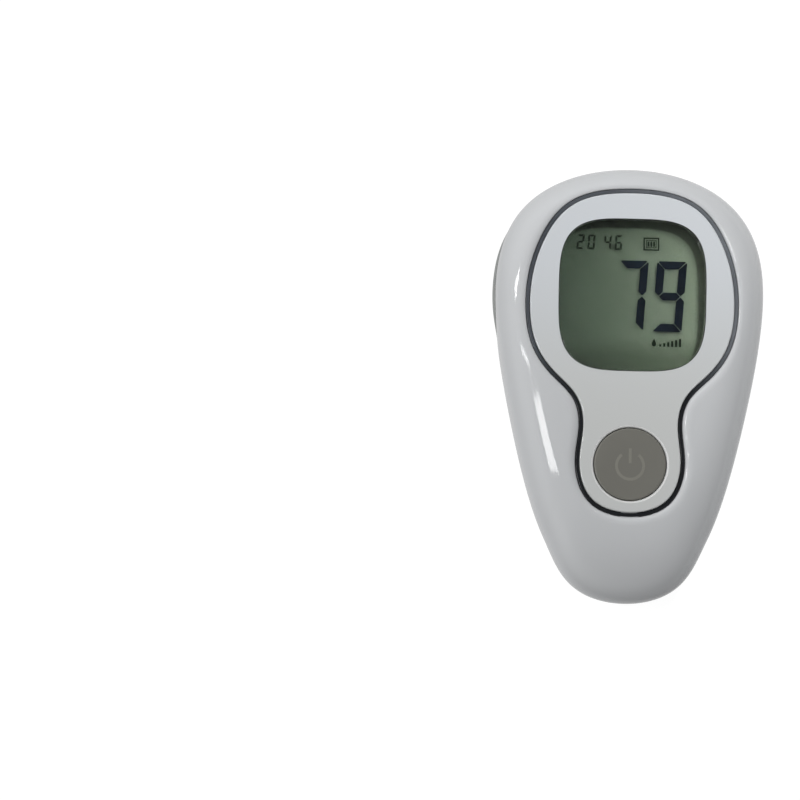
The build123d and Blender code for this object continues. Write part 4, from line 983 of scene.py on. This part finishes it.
label_side, label_end = label_width / 2 + label_gap, label_length / 2 + label_gap
ways.append(box((-label_side, label_y - label_end, 0),
                (label_side, label_y + label_end, floor_z + label_thickness)))
port_z, port_inner_y, port_outer_y, port_corner = 6.3, 41.0, 50.0, 1.6


def port_plug(width, height):
    """A round-cornered plug along the meter, through the strip port's place."""
    outline = rounded_rectangle(0, port_z, width, height, port_corner)
    points, faces = prism(outline, port_inner_y, port_outer_y)
    return points[:, [0, 2, 1]], faces


ways.append(port_plug(12.2, 4.0))
# A ball-cut notch beside the door for a fingernail.
notch_radius = 5.0
notch_middle = np.array((0.0, door_high_y + door_gap, floor_z + 1.0 - notch_radius))
ball = [at_height(circle(0, 0, 1e-3 + sin(a), 64), cos(a)) for a in np.linspace(pi, 0, 33)]
ways.append(capped([notch_middle + notch_radius * level for level in ball]))
carve(rear, [hollow, cutter(rebate), *[cutter(shape) for shape in ways]])
finish_mesh(rear.data, 30)
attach(rear, "housing")
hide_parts("rear_shell")


# --- Strip port, connector and contacts --------------------------------------------------------
# A dark collar with a funnelled slot is set in the rear shell's wide end. Behind it, an ivory
# block under the board guides the test strip beneath five gold-plated fingers. The collar's matt
# black hides the slot's depth, and the glass-stiffened block is dull beside the bright gold.
slot_width, slot_height, funnel_depth, funnel_side, funnel_top = 6.5, 1.1, 1.4, 1.2, 0.8
flange_half, flange_rise, flange_thickness = 6.9, 2.35, 1.0
collar_black = moulded("matt_black_abs", "#2C2E30", "#232527", 0.5, 0.35, 0.006, 5.0)
collar = piece("port_collar_plug", port_plug(12.0, 3.8), collar_black)
carve(collar, [cutter(capped(bowl(-0.15, floor_z - 0.01, parting_z)))], "INTERSECT")
flange = cutter(box((-flange_half, port_inner_y, port_z - flange_rise),
                    (flange_half, port_inner_y + flange_thickness, port_z + flange_rise)))
carve(flange, [cutter(capped(bowl(rear_wall + 0.1, floor_z + rear_wall)))], "INTERSECT")
carve(collar, [flange], "UNION")
mouth_y = half_length - wide_trim
throat_y = mouth_y - funnel_depth - parting_inset
throat = []
for y, wider, taller in ((throat_y, 0.0, 0.0), (mouth_y, funnel_side, funnel_top)):
    x, z = slot_width / 2 + wider, slot_height / 2 + taller
    throat.append(np.array([(-x, y, port_z - z), (x, y, port_z - z), (x, y, port_z + z),
                            (-x, y, port_z + z)]))
slot = box((-slot_width / 2, port_inner_y - 1.0, port_z - slot_height / 2),
           (slot_width / 2, port_outer_y, port_z + slot_height / 2))
carve(collar, [cutter(slot), cutter(capped(throat))])
finish_mesh(collar.data, 30)
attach(collar, "housing")
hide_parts("strip_port_collar")
ivory = moulded("ivory_lcp_moulding", "#D9D0B4", "#CCC2A4", 0.5, 0.3, 0.005, 4.0)
finish_nodes(ivory, "strip_connector")
gold = metal("gold_plated_bronze", "#E6BE6A", "#CFA24C", 0.22, 0.5)
finish_nodes(gold, "strip_contacts")


# --- Coin cell ---------------------------------------------------------------------------------
# A standard 20 mm lithium cell: a deep-drawn steel can, a smaller cap, and a dark moulded seal
# between them. Turning leaves rings in the steel round the middle, drawn coarse enough to show.
turned_steel, tree, place = new_material("turned_stainless_steel")
centred = add(tree, "ShaderNodeMapping", {"Vector": place, "Location": (0.0, -cell_y / 1000, 0.0)})
ring_mm = 1.0
rings_seen = add(tree, "ShaderNodeTexWave",
                 {"Vector": centred, "Scale": 100 * pi / ring_mm, "Distortion": 0.6,
                  "Detail": 2.0}, wave_type="RINGS", rings_direction="Z")
tone = add(tree, "ShaderNodeMix", {0: rings_seen, 6: linear("#C3C3C0"), 7: linear("#CFCFCC")},
           data_type="RGBA")
gloss = add(tree, "ShaderNodeMapRange", {0: rings_seen, 3: 0.24, 4: 0.32})
steel = add(tree, "ShaderNodeBsdfPrincipled",
            {"Base Color": tone.outputs[2], "Roughness": gloss, "Metallic": 1.0})
add(tree, "ShaderNodeOutputMaterial", {"Surface": steel})
finish_nodes(turned_steel, "cell_can", "cell_cap")
# The seal's unpainted polypropylene is waxy and dark.
seal = moulded("moulded_polypropylene_seal", "#3A3A40", "#2E2E34", 0.5, 0.2, 0.003, 2.0)
finish_nodes(seal, "cell_gasket")


# --- Battery door ------------------------------------------------------------------------------
# A flat door of the rear shell's grey ABS with three grip grooves. Two hooks at one end go under
# a lip and turn on it. A pad of dull foam inside, finely pitted, keeps the cell from rattling.
door_line = rounded_rectangle(0, cell_y, door_width, door_length, door_corner, 16)
door = plate("battery_door_panel", [(door_line, 0.1)], floor_z, door_top_z, grey_satin)
hook_z, hook_top_z = floor_z + 1.5, floor_z + 2.4
hooks = []
for x in (-hook_x, hook_x):
    for low_y, low_z in ((door_low_y - 1.2, hook_z), (door_low_y + 0.001, floor_z + 0.35)):
        hooks.append(cutter(box((x - hook_half, low_y, low_z),
                                (x + hook_half, door_low_y + 2.0, hook_top_z))))
carve(door, hooks, "UNION")
groove_y, groove_step = door_high_y - 3.0, 1.6
groove_length, groove_width, groove_depth = 9.0, 0.7, 0.35
grooves = [rounded_rectangle(0, groove_y - groove_step * i, groove_length, groove_width, 0.34, 6)
           for i in range(3)]
carve(door, [cutter(prism(line, 0, floor_z + groove_depth)) for line in grooves])
finish_mesh(door.data, 30)
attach(door, "battery_door")
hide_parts("battery_door")
foam = moulded("closed_cell_foam", "#3B3B3D", "#2A2A2C", 0.9, 0.35, 0.06, 1.5)
finish_nodes(foam, "door_pad")


# --- Screws, feet and label --------------------------------------------------------------------
# Four cross-recessed screws hold the shells together from below, four rubber feet are glued in
# recesses, and a blank silver polyester label lies between the feet at the wide end.
corner_sites = bpy.data.node_groups.new("four_corner_sites", "GeometryNodeTree")
given = tree_inputs(corner_sites, wide_x="Float", wide_y="Float", tip_x="Float", tip_y="Float",
                    finish="Material")
grid = add(corner_sites, "GeometryNodeMeshGrid",
           {"Size X": 2.0, "Size Y": 2.0, "Vertices X": 2, "Vertices Y": 2})
where = add(corner_sites, "ShaderNodeSeparateXYZ",
            {0: add(corner_sites, "GeometryNodeInputPosition")})
half_spacing, along = (add(corner_sites, "ShaderNodeMapRange",
                           {0: where.outputs["Y"], 1: -1.0, 2: 1.0, 3: given[tip], 4: given[wide]})
                       for tip, wide in (("tip_x", "wide_x"), ("tip_y", "wide_y")))
aside = add(corner_sites, "ShaderNodeMath", {0: where.outputs["X"], 1: half_spacing},
            operation="MULTIPLY")
site = add(corner_sites, "ShaderNodeCombineXYZ", {"X": aside, "Y": along})
placed = add(corner_sites, "GeometryNodeSetPosition", {"Geometry": grid, "Position": site})
copies = add(corner_sites, "GeometryNodeInstanceOnPoints",
             {"Points": placed, "Instance": given["Geometry"]})
real = add(corner_sites, "GeometryNodeRealizeInstances", {"Geometry": copies})
painted = add(corner_sites, "GeometryNodeSetMaterial",
              {"Geometry": real, "Material": given["finish"]})
add(corner_sites, "NodeGroupOutput", {0: painted})


def at_corners(name, model, sites, material):
    """Four copies of a small model, at a wide-end and a tip site and their mirror places."""
    wide, tip = np.array(sites[-2:]) / 1000
    made = from_tree(name, corner_sites, model.data, wide_x=wide[0], wide_y=wide[1],
                     tip_x=tip[0], tip_y=tip[1], finish=material)
    bpy.data.objects.remove(model)
    return made


# Zinc plating over rolled steel: a cold grey with a slight yellow drift.
zinc = metal("zinc_plated_steel", "#B8B7AE", "#8E8D86", 0.35, 0.5)
head_radius, head_height, shank_length = 1.8, 1.4, 8.0
root_radius, shank_radius, pitch = 0.68, 0.9, 0.52
head_z, screw_end_z = seat_z - head_height, seat_z + shank_length
head = [(0, head_z), (1.3, head_z + 0.03), (1.6, head_z + 0.14), (1.76, head_z + 0.36),
        (head_radius, seat_z - 0.55), (head_radius, seat_z), (shank_radius, seat_z)]
thread = []
for z in seat_z + 0.4 + pitch * np.arange(14):
    thread += [(root_radius, z), (shank_radius, z + 0.2), (root_radius, z + 0.4)]
screw = piece("case_screw",
              lathe([*head, *thread, (0.3, screw_end_z - 0.1), (0, screw_end_z)], steps=32), zinc)
slot_reach, slot_half, slot_depth_z = 1.4, 0.25, head_z + 0.7
carve(screw, [cutter(box((-x, -y, 0), (x, y, slot_depth_z)))
              for x, y in ((slot_reach, slot_half), (slot_half, slot_reach))])
case_screws = at_corners("case_screw_set", screw, case_screw_sites, zinc)
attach(case_screws, "housing")
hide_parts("case_screws")
finish_nodes(zinc, "board_screws")

# Soft rubber, dusty where it is moulded matt.
foot_black = moulded("soft_matt_rubber", "#3A3B3C", "#2B2C2D", 0.75, 0.25, 0.015, 2.5, ior=1.5)
foot_edge = [(foot_radius - inset, down) for inset, down in rounding(0.3, 6)]
cup_radius, cup_depth, cup_edge = 2.45, 0.12, 0.15
foot = piece("foot",
             lathe([(0, foot_top_z), (foot_radius, foot_top_z), *foot_edge,
                    (cup_radius + cup_edge, 0.0), (cup_radius, cup_depth), (0, cup_depth)],
                   steps=64), foot_black)
feet = at_corners("rubber_foot_set", foot, foot_sites, foot_black)
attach(feet, "housing")
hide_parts("rubber_feet")

# Aluminium on polyester, brushed one way, with a broad soft glint.
silver_label, tree, place = new_material("metallised_polyester_label")
drawn = add(tree, "ShaderNodeMapping", {"Vector": place, "Scale": (1, 14, 1)})
grain = add(tree, "ShaderNodeTexNoise", {"Vector": drawn, "Scale": 1000 / 1.2, "Detail": 3.0})
tone = add(tree, "ShaderNodeMix", {0: grain, 6: linear("#B2B4B6"), 7: linear("#C8CACC")},
           data_type="RGBA")
gloss = add(tree, "ShaderNodeMapRange", {0: grain, 3: 0.3, 4: 0.42})
foil = add(tree, "ShaderNodeBsdfPrincipled",
           {"Base Color": tone.outputs[2], "Roughness": gloss, "Metallic": 0.6})
add(tree, "ShaderNodeOutputMaterial", {"Surface": foil})
label_line = rounded_rectangle(0, label_y, label_width, label_length, 0.8)
label = plate("rating_label_blank", [(label_line, 0.0)], floor_z, floor_z + label_thickness,
              silver_label)
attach(label, "housing")
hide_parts("rating_label")
